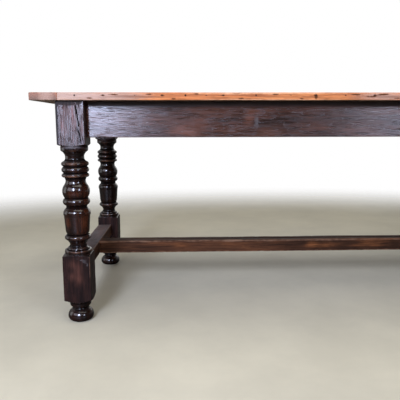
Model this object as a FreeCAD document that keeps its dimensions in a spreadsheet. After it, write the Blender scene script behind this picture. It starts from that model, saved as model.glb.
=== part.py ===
import FreeCAD, Part
import math
import os
from collections import namedtuple
from types import SimpleNamespace

import Sketcher
from FreeCAD import Placement, Rotation, Vector

# Refectory table in millimetres: +X along the length, +Y to the back, +Z up,
# origin on the floor under the middle of the top.

# Driving dimensions
FRAME_SIZES = {
    "leg_spacing_length": 1886,
    "leg_spacing_width": 680,
    "leg_square": 91,
    "apron_thickness": 26,
    "apron_height": 118,
    "apron_recess": 37,
    "apron_tenon_setback": 4,
    "apron_tenon_thickness": 12,
    "apron_tenon_height": 85,
    "apron_tenon_rise": 12,
    "tenon_nose_gap": 2,
    "stretcher_level": 151,
    "stretcher_height": 50,
    "end_stretcher_width": 61,
    "end_stretcher_tenon_thickness": 14,
    "end_stretcher_tenon_height": 34,
    "end_stretcher_tenon_length": 50,
    "centre_stretcher_width": 60,
    "centre_tenon_width": 34,
    "centre_tenon_height": 26,
    "centre_tenon_length": 42,
    "cross_rail_spacing": 860,
    "cross_rail_thickness": 28,
    "cross_rail_height": 70,
    "cross_rail_tenon_thickness": 12,
    "cross_rail_tenon_height": 44,
    "cross_rail_tenon_length": 12,
    "mortise_end_gap": 1,
    "joint_clearance": 0.15,
}

PEG_SIZES = {
    "peg_diameter": 9,
    "peg_clearance": 0.1,
    "peg_overrun": 10,
    "apron_peg_pitch": 46,
    "cleat_peg_diameter": 8,
}

TOP_SIZES = {
    "top_thickness": 24,
    "end_overhang": 76.5,
    "side_overhang": 14.5,
    "cleat_width": 88,
    "front_board_width": 186,
    "second_board_width": 214,
    "third_board_width": 208,
    "tongue_thickness": 8,
    "loose_tongue_width": 24,
    "board_tongue_length": 25,
    "board_tongue_inset": 30,
}

BUTTON_SIZES = {
    "button_length": 44,
    "button_width": 32,
    "button_thickness": 22,
    "button_tongue_length": 10,
    "button_tongue_thickness": 12,
    "button_face_gap": 1,
    "button_spacing_inner": 420,
    "button_spacing_outer": 1340,
    "end_button_spacing": 240,
    "screw_setback": 26,
    "screw_radius": 2.3,
    "screw_bite": 12,
    "screw_point_length": 5,
    "screw_point_radius": 0.5,
    "screw_head_radius": 4.5,
    "screw_rim_height": 1.2,
    "screw_crown_radius": 3,
    "screw_crown_height": 1.6,
    "screw_slot_width": 1,
    "screw_slot_depth": 1.2,
    "screw_clearance": 0.1,
}

FOOT_SIZES = {
    "foot_base_radius": 31,
    "foot_belly_radius": 43.5,
    "foot_belly_height": 17,
    "foot_belly_bulge": 3.4,
    "foot_crown_radius": 29,
    "foot_crown_height": 24,
    "foot_crown_bulge": 3.9,
    "foot_neck_radius": 25.5,
    "foot_neck_height": 6,
    "foot_neck_bulge": 0.6,
    "foot_cap_radius": 27.5,
    "foot_cap_height": 3,
    "foot_spigot_radius": 12.5,
    "foot_spigot_length": 40,
    "foot_bore_end_gap": 2,
}

# Heights of the turned members of a leg, from its lower end upwards
TURNING_HEIGHTS = {
    "cup_height": 8,
    "cup_land_height": 4,
    "cup_cove_height": 11,
    "low_shoulder_height": 11,
    "low_block_length": 149,
    "mid_shoulder_height": 6,
    "low_disc_height": 12,
    "low_disc_step": 1,
    "low_bead_height": 8,
    "low_neck_cove_height": 10,
    "drum_ring_cove_height": 18,
    "drum_ring_height": 12,
    "drum_ring_step": 2,
    "drum_groove_height": 3,
    "drum_round_height": 18,
    "drum_taper_height": 46,
    "collar_step": 3,
    "collar_height": 8,
    "collar_bevel_height": 15,
    "drum_neck_height": 7,
    "vase_ring_step": 3,
    "vase_ring_height": 22,
    "vase_groove_height": 2,
    "bulb_height": 41,
    "bulb_ogee_height": 16,
    "bulb_flare_height": 8,
    "bulb_fillet_height": 3,
    "ring_step": 1,
    "third_ring_height": 12,
    "second_ring_height": 17,
    "first_ring_height": 14,
    "ring_groove_half": 2,
    "top_neck_step": 2,
    "top_neck_flare_height": 9,
    "top_neck_height": 8,
    "top_cove_height": 17,
    "top_disc_height": 16,
    "top_shoulder_height": 7,
    "top_block_length": 138,
}

# Depths that the turned members are cut below the flat of the square
TURNING_DEPTHS = {
    "leg_seat_depth": 16.5,
    "cup_depth": 9.5,
    "shoulder_depth": 1.5,
    "low_bead_depth": 9.5,
    "low_neck_edge_depth": 13.5,
    "low_neck_depth": 18,
    "drum_ring_edge_depth": 4.5,
    "drum_groove_depth": 10,
    "drum_low_depth": 5.5,
    "drum_high_depth": 2,
    "collar_depth": 0.5,
    "drum_neck_depth": 11,
    "vase_ring_edge_depth": 7,
    "bulb_shoulder_depth": 6,
    "bulb_neck_depth": 12.7,
    "bulb_fillet_depth": 10.2,
    "ring_edge_depth": 5,
    "ring_groove_depth": 7,
    "top_neck_fillet_depth": 8.5,
    "top_neck_depth": 14.5,
    "turning_margin": 5,
}

# How far the rounds and hollows of a leg stand off their chords
TURNING_BULGES = {
    "cup_bulge": 1.6,
    "cup_cove_bulge": 1.8,
    "low_disc_bulge": 1.1,
    "low_bead_bulge": 2.2,
    "low_neck_cove_bulge": 1.6,
    "drum_ring_cove_bulge": 2.4,
    "drum_ring_bulge": 2.7,
    "drum_round_bulge": 1.2,
    "collar_bevel_bulge": 1.6,
    "vase_ring_bulge": 6.5,
    "bulb_bulge": 6.3,
    "bulb_ogee_bulge": 1.3,
    "bulb_flare_bulge": 0.5,
    "ring_bulge": 4.5,
    "top_neck_flare_bulge": 1.4,
    "top_cove_bulge": 2.4,
    "top_disc_bulge": 0.9,
}

SIZE_GROUPS = (
    FRAME_SIZES,
    PEG_SIZES,
    TOP_SIZES,
    BUTTON_SIZES,
    FOOT_SIZES,
    TURNING_HEIGHTS,
    TURNING_DEPTHS,
    TURNING_BULGES,
)

# Sides are signed so that plus points inwards, to the middle of the table
SIDES = {"front": 1, "back": -1}
ENDS = {"left": 1, "right": -1}
UP = Vector(0, 0, 1)
QUARTER_TURN = 90
HALF_TURN = 180
FULL_TURN = 360
PARTS_FOLDER = "parts"

doc = FreeCAD.newDocument("RefectoryTable")
finished = []


class Size:
    """A length as a formula of the sheet's cells, with its present number."""

    def __init__(self, formula, number):
        self.formula = formula
        self.number = number

    def joined(self, sign, other, number):
        """Put the formula of another length behind this one."""
        return Size(f"({self.formula} {sign} {as_size(other).formula})", number)

    def __add__(self, other):
        return self.joined("+", other, self.number + as_size(other).number)

    def __sub__(self, other):
        return self.joined("-", other, self.number - as_size(other).number)

    def __mul__(self, other):
        return self.joined("*", other, self.number * as_size(other).number)

    def __truediv__(self, other):
        return self.joined("/", other, self.number / as_size(other).number)

    def __rmul__(self, other):
        return as_size(other) * self

    def __neg__(self):
        return as_size(-1) * self


def as_size(value):
    """Take a plain number as a length too."""
    return value if isinstance(value, Size) else Size(f"({value})", value)


NOTHING = as_size(0)


def make_sizes():
    """Write each driving dimension to its own named cell and hand the cells back by name."""
    sheet = doc.addObject("Spreadsheet::Sheet", "Sizes")
    numbers = {name: number for sizes in SIZE_GROUPS for name, number in sizes.items()}
    for row, (name, number) in enumerate(numbers.items(), start=1):
        sheet.set(f"A{row}", name)
        sheet.set(f"B{row}", str(number))
        sheet.setAlias(f"B{row}", name)
    doc.recompute()
    return SimpleNamespace(**{name: Size(f"Sizes.{name}", float(sheet.get(name))) for name in numbers})


size = make_sizes()


# Sketches and features


def bind(item, lengths):
    """Bind properties of an object to the formulas of their lengths."""
    for name, length in lengths.items():
        item.setExpression(name, as_size(length).formula)


def place(item, x=NOTHING, y=NOTHING, z=NOTHING, turn=Rotation()):
    """Stand a piece at its place."""
    item.Placement = Placement(Vector(), turn)
    bind(item, {"Placement.Base.x": x, "Placement.Base.y": y, "Placement.Base.z": z})


def spin(degrees):
    """Turn about the upright axis."""
    return Rotation(UP, degrees)


def new_body(label):
    """Start one solid piece under its own label."""
    body = doc.addObject("PartDesign::Body", label)
    body.Label = label
    return body


def new_sketch(body, name, plane, offset):
    """Lay a sketch on one of the body's own planes, moved along its normal."""
    sketch = body.newObject("Sketcher::SketchObject", name)
    support = next(item for item in body.Origin.OriginFeatures if item.Role == plane)
    sketch.AttachmentSupport = (support, [""])
    sketch.MapMode = "FlatFace"
    bind(sketch, {"AttachmentOffset.Base.z": offset})
    return sketch


def fix_number(sketch, constraint, name, length):
    """Add one measured constraint and bind it to a length."""
    index = sketch.addConstraint(constraint)
    sketch.renameConstraint(index, name)
    bind(sketch, {f"Constraints.{name}": length})


def fix_point(sketch, geometry, end, name, x, y):
    """Hold a point of the sketch at its two coordinates."""
    across = Sketcher.Constraint("DistanceX", -1, 1, geometry, end, x.number)
    upwards = Sketcher.Constraint("DistanceY", -1, 1, geometry, end, y.number)
    fix_number(sketch, across, f"{name}_x", x)
    fix_number(sketch, upwards, f"{name}_y", y)


def add_rectangle(sketch, box):
    """Draw a rectangle held at two opposite corners."""
    x_first, x_last, y_first, y_last = box
    corners = [(x_first, y_first), (x_last, y_first), (x_last, y_last), (x_first, y_last)]
    points = [Vector(x.number, y.number) for x, y in corners]
    first = sketch.GeometryCount
    for start, end in zip(points, points[1:] + points[:1]):
        sketch.addGeometry(Part.LineSegment(start, end))
    for side in range(4):
        following = first + (side + 1) % 4
        sketch.addConstraint(Sketcher.Constraint("Coincident", first + side, 2, following, 1))
        direction = "Vertical" if side % 2 else "Horizontal"
        sketch.addConstraint(Sketcher.Constraint(direction, first + side))
    fix_point(sketch, first, 1, f"first_{first}", x_first, y_first)
    fix_point(sketch, first + 2, 1, f"last_{first}", x_last, y_last)


def add_circle(sketch, centre, radius):
    """Draw a circle held at its centre."""
    x, y = centre
    index = sketch.addGeometry(Part.Circle(Vector(x.number, y.number), UP, radius.number))
    fix_point(sketch, index, 3, f"centre_{index}", x, y)
    fix_number(sketch, Sketcher.Constraint("Radius", index, radius.number), f"radius_{index}", radius)


def add_block(body, name, box, level, height):
    """Add a block with a rectangular plan, from a level upwards."""
    sketch = new_sketch(body, f"{name}_plan", "XY_Plane", level)
    add_rectangle(sketch, box)
    pad = body.newObject("PartDesign::Pad", name)
    pad.Profile = sketch
    bind(pad, {"Length": height})


def cut(body, name, sketch, depth, flip=False):
    """Sink a sketch into the body and make sure that it removed wood."""
    doc.recompute()
    before = body.Shape.Volume
    pocket = body.newObject("PartDesign::Pocket", name)
    pocket.Profile = sketch
    pocket.Reversed = flip
    bind(pocket, {"Length": depth})
    doc.recompute()
    if body.Shape.Volume >= before:
        raise RuntimeError(f"{body.Label}: {name} cuts nothing")


def cut_boxes(body, name, boxes, level, height):
    """Cut hollows with rectangular plans, from a level upwards."""
    sketch = new_sketch(body, f"{name}_plan", "XY_Plane", level + height)
    for box in boxes:
        add_rectangle(sketch, box)
    cut(body, name, sketch, height)


def drill(body, name, plane, start, centres, radius, depth, flip=False):
    """Bore round holes square to a plane."""
    sketch = new_sketch(body, f"{name}_plan", plane, start)
    for centre in centres:
        add_circle(sketch, centre, radius)
    cut(body, name, sketch, depth, flip)


def make_cylinder(name, radius, height):
    """Make one round rod along the upright axis."""
    rod = doc.addObject("Part::Cylinder", name)
    bind(rod, {"Radius": radius, "Height": height})
    return rod


def finish(item, label):
    """Keep a piece for the hand-over under its label."""
    item.Label = label
    finished.append(item)


def finish_group(label, solids):
    """Keep equal small pieces as one named group."""
    gathered = doc.addObject("Part::Compound", label)
    gathered.Links = solids
    finish(gathered, label)


# Turned outlines

STRAIGHT = 0
ROUND = 1
HOLLOW = -1
Step = namedtuple("Step", "rise radius bend bulge", defaults=(STRAIGHT, None))
Stop = namedtuple("Stop", "radius level")


def climb(start, steps):
    """Turn steps up an outline into its stops."""
    stops = [start]
    for step in steps:
        stops.append(Stop(step.radius, stops[-1].level + step.rise))
    return stops


def as_vector(stop):
    """Give the present place of a stop in its sketch."""
    return Vector(stop.radius.number, stop.level.number)


def arc_radius(low, high, step):
    """Work out the radius of an arc from its chord and its bulge."""
    run = high.radius - low.radius
    return (run * run + step.rise * step.rise) / (8 * step.bulge) + step.bulge / 2


def make_arc(low, high, step):
    """Draw an arc from one stop up to the next, standing off its chord by the bulge."""
    start = as_vector(low)
    end = as_vector(high)
    chord = end - start
    radius = arc_radius(low, high, step).number
    outward = Vector(chord.y, -chord.x).normalize() * step.bend
    centre = (start + end) / 2 - outward * (radius - step.bulge.number)
    if step.bend == HOLLOW:
        start, end = end, start
    angles = [math.atan2(point.y - centre.y, point.x - centre.x) for point in (start, end)]
    return Part.ArcOfCircle(Part.Circle(centre, UP, radius), *angles)


def draw_outline(sketch, start, steps, closing):
    """Draw a closed lathe outline: its steps upwards, then straight lines through the closing stops."""
    stops = climb(start, steps) + closing
    steps = steps + [Step(None, None)] * (len(stops) - len(steps))
    lines = []
    for index, step in enumerate(steps):
        low = stops[index]
        high = stops[(index + 1) % len(stops)]
        if step.bend == STRAIGHT:
            shape = Part.LineSegment(as_vector(low), as_vector(high))
        else:
            shape = make_arc(low, high, step)
        ends = (2, 1) if step.bend == HOLLOW else (1, 2)
        lines.append((sketch.addGeometry(shape), *ends))
    for (line, _, far_end), (following, near_end, _) in zip(lines, lines[1:] + lines[:1]):
        sketch.addConstraint(Sketcher.Constraint("Coincident", line, far_end, following, near_end))
    for index, (line, near_end, _) in enumerate(lines):
        fix_point(sketch, line, near_end, f"stop_{index}", stops[index].radius, stops[index].level)
        if steps[index].bend != STRAIGHT:
            radius = arc_radius(stops[index], stops[index + 1], steps[index])
            bend = Sketcher.Constraint("Radius", line, radius.number)
            fix_number(sketch, bend, f"bend_{index}", radius)


def revolve(body, name, kind, start, steps, closing):
    """Add or cut a turned shape about the upright axis of the body."""
    sketch = new_sketch(body, f"{name}_outline", "XZ_Plane", NOTHING)
    draw_outline(sketch, start, steps, closing)
    turned = body.newObject(f"PartDesign::{kind}", name)
    turned.Profile = sketch
    turned.ReferenceAxis = (sketch, ["V_Axis"])
    turned.Angle = FULL_TURN


# Lengths that follow from the driving dimensions

half_leg = size.leg_square / 2
half_length = size.leg_spacing_length / 2
half_width = size.leg_spacing_width / 2
outer_length = half_length + half_leg
outer_width = half_width + half_leg
long_span = size.leg_spacing_length - size.leg_square
end_span = size.leg_spacing_width - size.leg_square
clear_radius = size.leg_square * math.sqrt(0.5) + size.turning_margin


def turned_to(depth):
    """Give the radius of a turned member from its depth below the flat of the square."""
    return half_leg - depth


foot_steps = [
    Step(size.foot_belly_height, size.foot_belly_radius, ROUND, size.foot_belly_bulge),
    Step(size.foot_crown_height, size.foot_crown_radius, ROUND, size.foot_crown_bulge),
    Step(size.foot_neck_height, size.foot_neck_radius, HOLLOW, size.foot_neck_bulge),
    Step(size.foot_cap_height, size.foot_cap_radius),
    Step(NOTHING, size.foot_spigot_radius),
    Step(size.foot_spigot_length, size.foot_spigot_radius),
]

cup_steps = [
    Step(size.cup_height, turned_to(size.cup_depth), ROUND, size.cup_bulge),
    Step(size.cup_land_height, turned_to(size.cup_depth)),
    Step(size.cup_cove_height, turned_to(size.shoulder_depth), HOLLOW, size.cup_cove_bulge),
    Step(size.low_shoulder_height, clear_radius),
]

low_disc_steps = [
    Step(size.mid_shoulder_height, turned_to(size.shoulder_depth)),
    Step(size.low_disc_height, turned_to(size.shoulder_depth), ROUND, size.low_disc_bulge),
    Step(size.low_disc_step, turned_to(size.low_bead_depth)),
    Step(size.low_bead_height, turned_to(size.low_neck_edge_depth), ROUND, size.low_bead_bulge),
    Step(size.low_neck_cove_height, turned_to(size.low_neck_depth), HOLLOW, size.low_neck_cove_bulge),
]

drum_steps = [
    Step(size.drum_ring_cove_height, turned_to(size.drum_ring_edge_depth), HOLLOW, size.drum_ring_cove_bulge),
    Step(size.drum_ring_height, turned_to(size.drum_ring_edge_depth), ROUND, size.drum_ring_bulge),
    Step(size.drum_ring_step, turned_to(size.drum_groove_depth)),
    Step(size.drum_groove_height, turned_to(size.drum_groove_depth)),
    Step(size.drum_round_height, turned_to(size.drum_low_depth), ROUND, size.drum_round_bulge),
    Step(size.drum_taper_height, turned_to(size.drum_high_depth)),
    Step(size.collar_step, turned_to(size.collar_depth)),
    Step(size.collar_height, turned_to(size.collar_depth)),
    Step(size.collar_bevel_height, turned_to(size.drum_neck_depth), ROUND, size.collar_bevel_bulge),
    Step(size.drum_neck_height, turned_to(size.drum_neck_depth)),
]

vase_steps = [
    Step(size.vase_ring_step, turned_to(size.vase_ring_edge_depth)),
    Step(size.vase_ring_height, turned_to(size.vase_ring_edge_depth), ROUND, size.vase_ring_bulge),
    Step(size.vase_groove_height, turned_to(size.vase_ring_edge_depth)),
    Step(size.bulb_height, turned_to(size.bulb_shoulder_depth), ROUND, size.bulb_bulge),
    Step(size.bulb_ogee_height, turned_to(size.bulb_neck_depth), HOLLOW, size.bulb_ogee_bulge),
    Step(size.bulb_flare_height, turned_to(size.bulb_fillet_depth), HOLLOW, size.bulb_flare_bulge),
    Step(size.bulb_fillet_height, turned_to(size.bulb_fillet_depth)),
]

ring_groove_steps = [
    Step(size.ring_groove_half, turned_to(size.ring_groove_depth)),
    Step(size.ring_groove_half, turned_to(size.ring_edge_depth)),
]

ring_steps = [
    Step(size.ring_step, turned_to(size.ring_edge_depth)),
    Step(size.third_ring_height, turned_to(size.ring_edge_depth), ROUND, size.ring_bulge),
    *ring_groove_steps,
    Step(size.second_ring_height, turned_to(size.ring_edge_depth), ROUND, size.ring_bulge),
    *ring_groove_steps,
    Step(size.first_ring_height, turned_to(size.ring_edge_depth), ROUND, size.ring_bulge),
]

top_neck_steps = [
    Step(size.top_neck_step, turned_to(size.top_neck_fillet_depth)),
    Step(size.top_neck_flare_height, turned_to(size.top_neck_depth), HOLLOW, size.top_neck_flare_bulge),
    Step(size.top_neck_height, turned_to(size.top_neck_depth)),
    Step(size.top_cove_height, turned_to(size.shoulder_depth), HOLLOW, size.top_cove_bulge),
    Step(size.top_disc_height, turned_to(size.shoulder_depth), ROUND, size.top_disc_bulge),
    Step(size.top_shoulder_height, clear_radius),
]

shaft_steps = low_disc_steps + drum_steps + vase_steps + ring_steps + top_neck_steps

leg_seat = Stop(turned_to(size.leg_seat_depth), NOTHING)
low_block_foot = climb(leg_seat, cup_steps)[-1]
low_block_head = Stop(clear_radius, low_block_foot.level + size.low_block_length)
top_block_foot = climb(low_block_head, shaft_steps)[-1]
leg_length = top_block_foot.level + size.top_block_length
foot_height = size.foot_belly_height + size.foot_crown_height + size.foot_neck_height + size.foot_cap_height
underside = foot_height + leg_length

apron_level = leg_length - size.apron_height
apron_tenon_level = apron_level + size.apron_tenon_rise
apron_peg_middle = apron_tenon_level + size.apron_tenon_height / 2
apron_peg_levels = [apron_peg_middle + size.apron_peg_pitch / 2 * sign for sign in (-1, 1)]
apron_tenon_front = size.apron_recess + size.apron_tenon_setback - half_leg
apron_tenon_back = apron_tenon_front + size.apron_tenon_thickness
apron_tenon_length = half_leg - apron_tenon_back - size.tenon_nose_gap
apron_peg_inset = half_leg - apron_tenon_length / 2
apron_peg_length = half_leg + apron_tenon_back + size.peg_overrun
apron_inner_width = outer_width - size.apron_recess - size.apron_thickness
apron_inner_length = outer_length - size.apron_recess - size.apron_thickness

stretcher_tenon_middle = size.end_stretcher_width / 2 - half_leg
stretcher_tenon_level = (
    size.stretcher_level + size.stretcher_height / 2 - size.end_stretcher_tenon_height / 2 - foot_height
)
stretcher_peg_level = size.stretcher_level + size.stretcher_height / 2 - foot_height
stretcher_peg_inset = half_leg - size.end_stretcher_tenon_length / 2
stretcher_tenon_back = size.end_stretcher_width / 2 + size.end_stretcher_tenon_thickness / 2
stretcher_peg_length = stretcher_tenon_back + size.peg_overrun
centre_span = 2 * (outer_length - size.end_stretcher_width)

top_half_length = outer_length + size.end_overhang
top_half_width = outer_width + size.side_overhang
board_half_length = top_half_length - size.cleat_width
tongue_level = size.top_thickness / 2 - size.tongue_thickness / 2
loose_tongue_half = size.loose_tongue_width / 2
cleat_peg_inset = size.board_tongue_length / 2

peg_radius = size.peg_diameter / 2
peg_hole_radius = peg_radius + size.peg_clearance
cleat_peg_radius = size.cleat_peg_diameter / 2
cleat_peg_hole_radius = cleat_peg_radius + size.peg_clearance
screw_length = size.button_thickness + size.screw_bite
screw_hole_radius = size.screw_radius + size.screw_clearance
screw_row = apron_inner_width - size.screw_setback
screw_column = apron_inner_length - size.screw_setback
button_spacings = (size.button_spacing_inner, size.button_spacing_outer)
long_button_places = [spacing / 2 * sign for spacing in button_spacings for sign in (-1, 1)]
end_button_places = [size.end_button_spacing / 2 * sign for sign in (-1, 1)]
rail_places = [size.cross_rail_spacing / 2 * sign for sign in (-1, 1)]


def slack_box(x_middle, x_half, y_first, y_last):
    """Give the plan of a mortise: a tenon's width with clearance, between two depths."""
    reach = x_half + size.joint_clearance
    return (x_middle - reach, x_middle + reach, y_first, y_last)


# Legs and feet


def cut_leg_mortises(body, along, inward):
    """Cut the mortises of both aprons and of the end stretcher into the inner faces of a leg."""
    apron_middle = (apron_tenon_front + apron_tenon_back) / 2
    apron_half = size.apron_tenon_thickness / 2 + size.joint_clearance
    apron_sides = [apron_middle - apron_half, apron_middle + apron_half]
    apron_depths = [half_leg - apron_tenon_length - size.mortise_end_gap, half_leg]
    long_box = [u * along for u in apron_depths] + [v * inward for v in apron_sides]
    end_box = [u * along for u in apron_sides] + [v * inward for v in apron_depths]
    height = size.apron_tenon_height + 2 * size.joint_clearance
    cut_boxes(body, "apron_mortises", [long_box, end_box], apron_tenon_level - size.joint_clearance, height)

    stretcher_half = size.end_stretcher_tenon_thickness / 2 + size.joint_clearance
    stretcher_sides = [stretcher_tenon_middle - stretcher_half, stretcher_tenon_middle + stretcher_half]
    stretcher_depths = [half_leg - size.end_stretcher_tenon_length - size.mortise_end_gap, half_leg]
    stretcher_box = [u * along for u in stretcher_sides] + [v * inward for v in stretcher_depths]
    height = size.end_stretcher_tenon_height + 2 * size.joint_clearance
    level = stretcher_tenon_level - size.joint_clearance
    cut_boxes(body, "stretcher_mortise", [stretcher_box], level, height)


def bore_leg(body, along, inward):
    """Bore the peg holes from the outer faces of a leg, and the socket of its foot."""
    apron_depth = apron_peg_length + size.mortise_end_gap
    stretcher_depth = stretcher_peg_length + size.mortise_end_gap
    long_centres = [(apron_peg_inset * along, level) for level in apron_peg_levels]
    end_centres = [(apron_peg_inset * inward, level) for level in apron_peg_levels]
    stretcher_centres = [(stretcher_peg_inset * inward, stretcher_peg_level)]
    front = half_leg * inward
    outside = half_leg * -along
    hole = peg_hole_radius
    drill(body, "long_pegs", "XZ_Plane", front, long_centres, hole, apron_depth, inward < 0)
    drill(body, "end_pegs", "YZ_Plane", outside, end_centres, hole, apron_depth, along > 0)
    drill(body, "low_pegs", "YZ_Plane", outside, stretcher_centres, hole, stretcher_depth, along > 0)
    socket_radius = size.foot_spigot_radius + size.joint_clearance
    socket_depth = size.foot_spigot_length + size.foot_bore_end_gap
    drill(body, "foot_socket", "XY_Plane", NOTHING, [(NOTHING, NOTHING)], socket_radius, socket_depth, True)


def make_leg(label, along, inward):
    """Turn one leg from a square billet and cut its joints."""
    body = new_body(label)
    add_block(body, "billet", (-half_leg, half_leg, -half_leg, half_leg), NOTHING, leg_length)
    revolve(body, "cup", "Groove", leg_seat, cup_steps, [Stop(clear_radius, NOTHING)])
    revolve(body, "shaft", "Groove", low_block_head, shaft_steps, [])
    cut_leg_mortises(body, along, inward)
    bore_leg(body, along, inward)
    place(body, half_length * -along, half_width * -inward, foot_height)
    finish(body, label)


def make_foot(label, along, inward):
    """Turn one bun foot with the spigot that enters the leg."""
    body = new_body(label)
    base = Stop(size.foot_base_radius, NOTHING)
    axis = [Stop(NOTHING, foot_height + size.foot_spigot_length), Stop(NOTHING, NOTHING)]
    revolve(body, "bun", "Revolution", base, foot_steps, axis)
    place(body, half_length * -along, half_width * -inward)
    finish(body, label)


# Aprons and cross rails


def make_apron(label, span, button_places, rails):
    """Make one apron with its tenons, peg holes and the slots in its inner face."""
    body = new_body(label)
    half = span / 2
    tenon_half = half + apron_tenon_length
    tenon_front = size.apron_tenon_setback
    tenon_box = (-tenon_half, tenon_half, tenon_front, tenon_front + size.apron_tenon_thickness)
    add_block(body, "board", (-half, half, NOTHING, size.apron_thickness), NOTHING, size.apron_height)
    add_block(body, "tenons", tenon_box, size.apron_tenon_rise, size.apron_tenon_height)

    peg_places = [(half + apron_tenon_length / 2) * sign for sign in (-1, 1)]
    centres = [(x, level - apron_level) for x in peg_places for level in apron_peg_levels]
    drill(body, "peg_holes", "XZ_Plane", NOTHING, centres, peg_hole_radius, size.apron_thickness)

    slot_start = size.apron_thickness - size.button_tongue_length - size.mortise_end_gap
    slots = [slack_box(x, size.button_width / 2, slot_start, size.apron_thickness) for x in button_places]
    slot_level = size.apron_height - size.button_thickness - size.joint_clearance
    slot_height = size.button_tongue_thickness + 2 * size.joint_clearance
    cut_boxes(body, "button_slots", slots, slot_level, slot_height)
    if rails:
        rail_start = size.apron_thickness - size.cross_rail_tenon_length - size.mortise_end_gap
        rail_half = size.cross_rail_tenon_thickness / 2
        mortises = [slack_box(x, rail_half, rail_start, size.apron_thickness) for x in rails]
        middle = size.apron_height - size.cross_rail_height / 2
        mortise_height = size.cross_rail_tenon_height + 2 * size.joint_clearance
        cut_boxes(body, "rail_mortises", mortises, middle - mortise_height / 2, mortise_height)
    return body


def make_aprons():
    """Make the two long aprons and the two end aprons between the legs."""
    level = foot_height + apron_level
    for side, inward in SIDES.items():
        body = make_apron(f"{side}_apron", long_span, long_button_places, rail_places)
        turn = spin(0 if inward > 0 else HALF_TURN)
        place(body, NOTHING, (size.apron_recess - outer_width) * inward, level, turn)
        finish(body, f"{side}_apron")
    for end, along in ENDS.items():
        body = make_apron(f"{end}_end_apron", end_span, end_button_places, [])
        place(body, (size.apron_recess - outer_length) * along, NOTHING, level, spin(-QUARTER_TURN * along))
        finish(body, f"{end}_end_apron")


def make_cross_rails():
    """Make the two rails that tie the long aprons together under the top."""
    half = size.cross_rail_thickness / 2
    tenon_half = size.cross_rail_tenon_thickness / 2
    reach = apron_inner_width + size.cross_rail_tenon_length
    rail_box = (-half, half, -apron_inner_width, apron_inner_width)
    tenon_box = (-tenon_half, tenon_half, -reach, reach)
    tenon_level = size.cross_rail_height / 2 - size.cross_rail_tenon_height / 2
    for end, x in zip(ENDS, rail_places):
        body = new_body(f"{end}_cross_rail")
        add_block(body, "rail", rail_box, NOTHING, size.cross_rail_height)
        add_block(body, "tenons", tenon_box, tenon_level, size.cross_rail_tenon_height)
        place(body, x, NOTHING, underside - size.cross_rail_height)
        finish(body, f"{end}_cross_rail")


# Stretchers


def make_end_stretchers():
    """Make the low stretchers, flush with the outer faces of the legs at each end."""
    half = end_span / 2
    tenon_half = half + size.end_stretcher_tenon_length
    width = size.end_stretcher_width
    height = size.stretcher_height
    tenon_front = width / 2 - size.end_stretcher_tenon_thickness / 2
    tenon_back = tenon_front + size.end_stretcher_tenon_thickness
    tenon_box = (-tenon_half, tenon_half, tenon_front, tenon_back)
    tenon_level = height / 2 - size.end_stretcher_tenon_height / 2
    mortise_start = width - size.centre_tenon_length - size.mortise_end_gap
    mortise = slack_box(NOTHING, size.centre_tenon_width / 2, mortise_start, width)
    mortise_height = size.centre_tenon_height + 2 * size.joint_clearance
    mortise_level = height / 2 - mortise_height / 2
    peg_reach = half + size.end_stretcher_tenon_length / 2
    side_pegs = [(peg_reach * sign, height / 2) for sign in (-1, 1)]
    top_peg = (NOTHING, width - size.centre_tenon_length / 2)
    for end, along in ENDS.items():
        body = new_body(f"{end}_end_stretcher")
        add_block(body, "rail", (-half, half, NOTHING, width), NOTHING, height)
        add_block(body, "tenons", tenon_box, tenon_level, size.end_stretcher_tenon_height)
        cut_boxes(body, "centre_mortise", [mortise], mortise_level, mortise_height)
        drill(body, "side_pegs", "XZ_Plane", NOTHING, side_pegs, peg_hole_radius, width)
        drill(body, "top_peg", "XY_Plane", height, [top_peg], peg_hole_radius, height)
        place(body, -outer_length * along, NOTHING, size.stretcher_level, spin(-QUARTER_TURN * along))
        finish(body, f"{end}_end_stretcher")


def make_centre_stretcher():
    """Make the long stretcher that joins the two end stretchers."""
    half = centre_span / 2
    reach = half + size.centre_tenon_length
    half_across = size.centre_stretcher_width / 2
    tenon_half = size.centre_tenon_width / 2
    tenon_level = size.stretcher_height / 2 - size.centre_tenon_height / 2
    body = new_body("centre_stretcher")
    add_block(body, "rail", (-half, half, -half_across, half_across), NOTHING, size.stretcher_height)
    add_block(body, "tenons", (-reach, reach, -tenon_half, tenon_half), tenon_level, size.centre_tenon_height)
    pegs = [((half + size.centre_tenon_length / 2) * sign, NOTHING) for sign in (-1, 1)]
    drill(body, "peg_holes", "XY_Plane", size.stretcher_height, pegs, peg_hole_radius, size.stretcher_height)
    place(body, NOTHING, NOTHING, size.stretcher_level)
    finish(body, "centre_stretcher")


# Top


def board_rows():
    """List the boards from front to back with their widths and front edges."""
    widths = {
        "front_board": size.front_board_width,
        "second_board": size.second_board_width,
        "third_board": size.third_board_width,
    }
    rows = []
    edge = -top_half_width
    for label, width in widths.items():
        rows.append((label, edge, width))
        edge = edge + width
    rows.append(("back_board", edge, top_half_width - edge))
    return rows


def board_screws(index, last):
    """List the places of the screws that enter one board, in plan."""
    if index in (0, last):
        row = screw_row * (-1 if index == 0 else 1)
        return [(x, row) for x in long_button_places]
    row = end_button_places[index - 1]
    return [(screw_column * sign, row) for sign in (-1, 1)]


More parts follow.
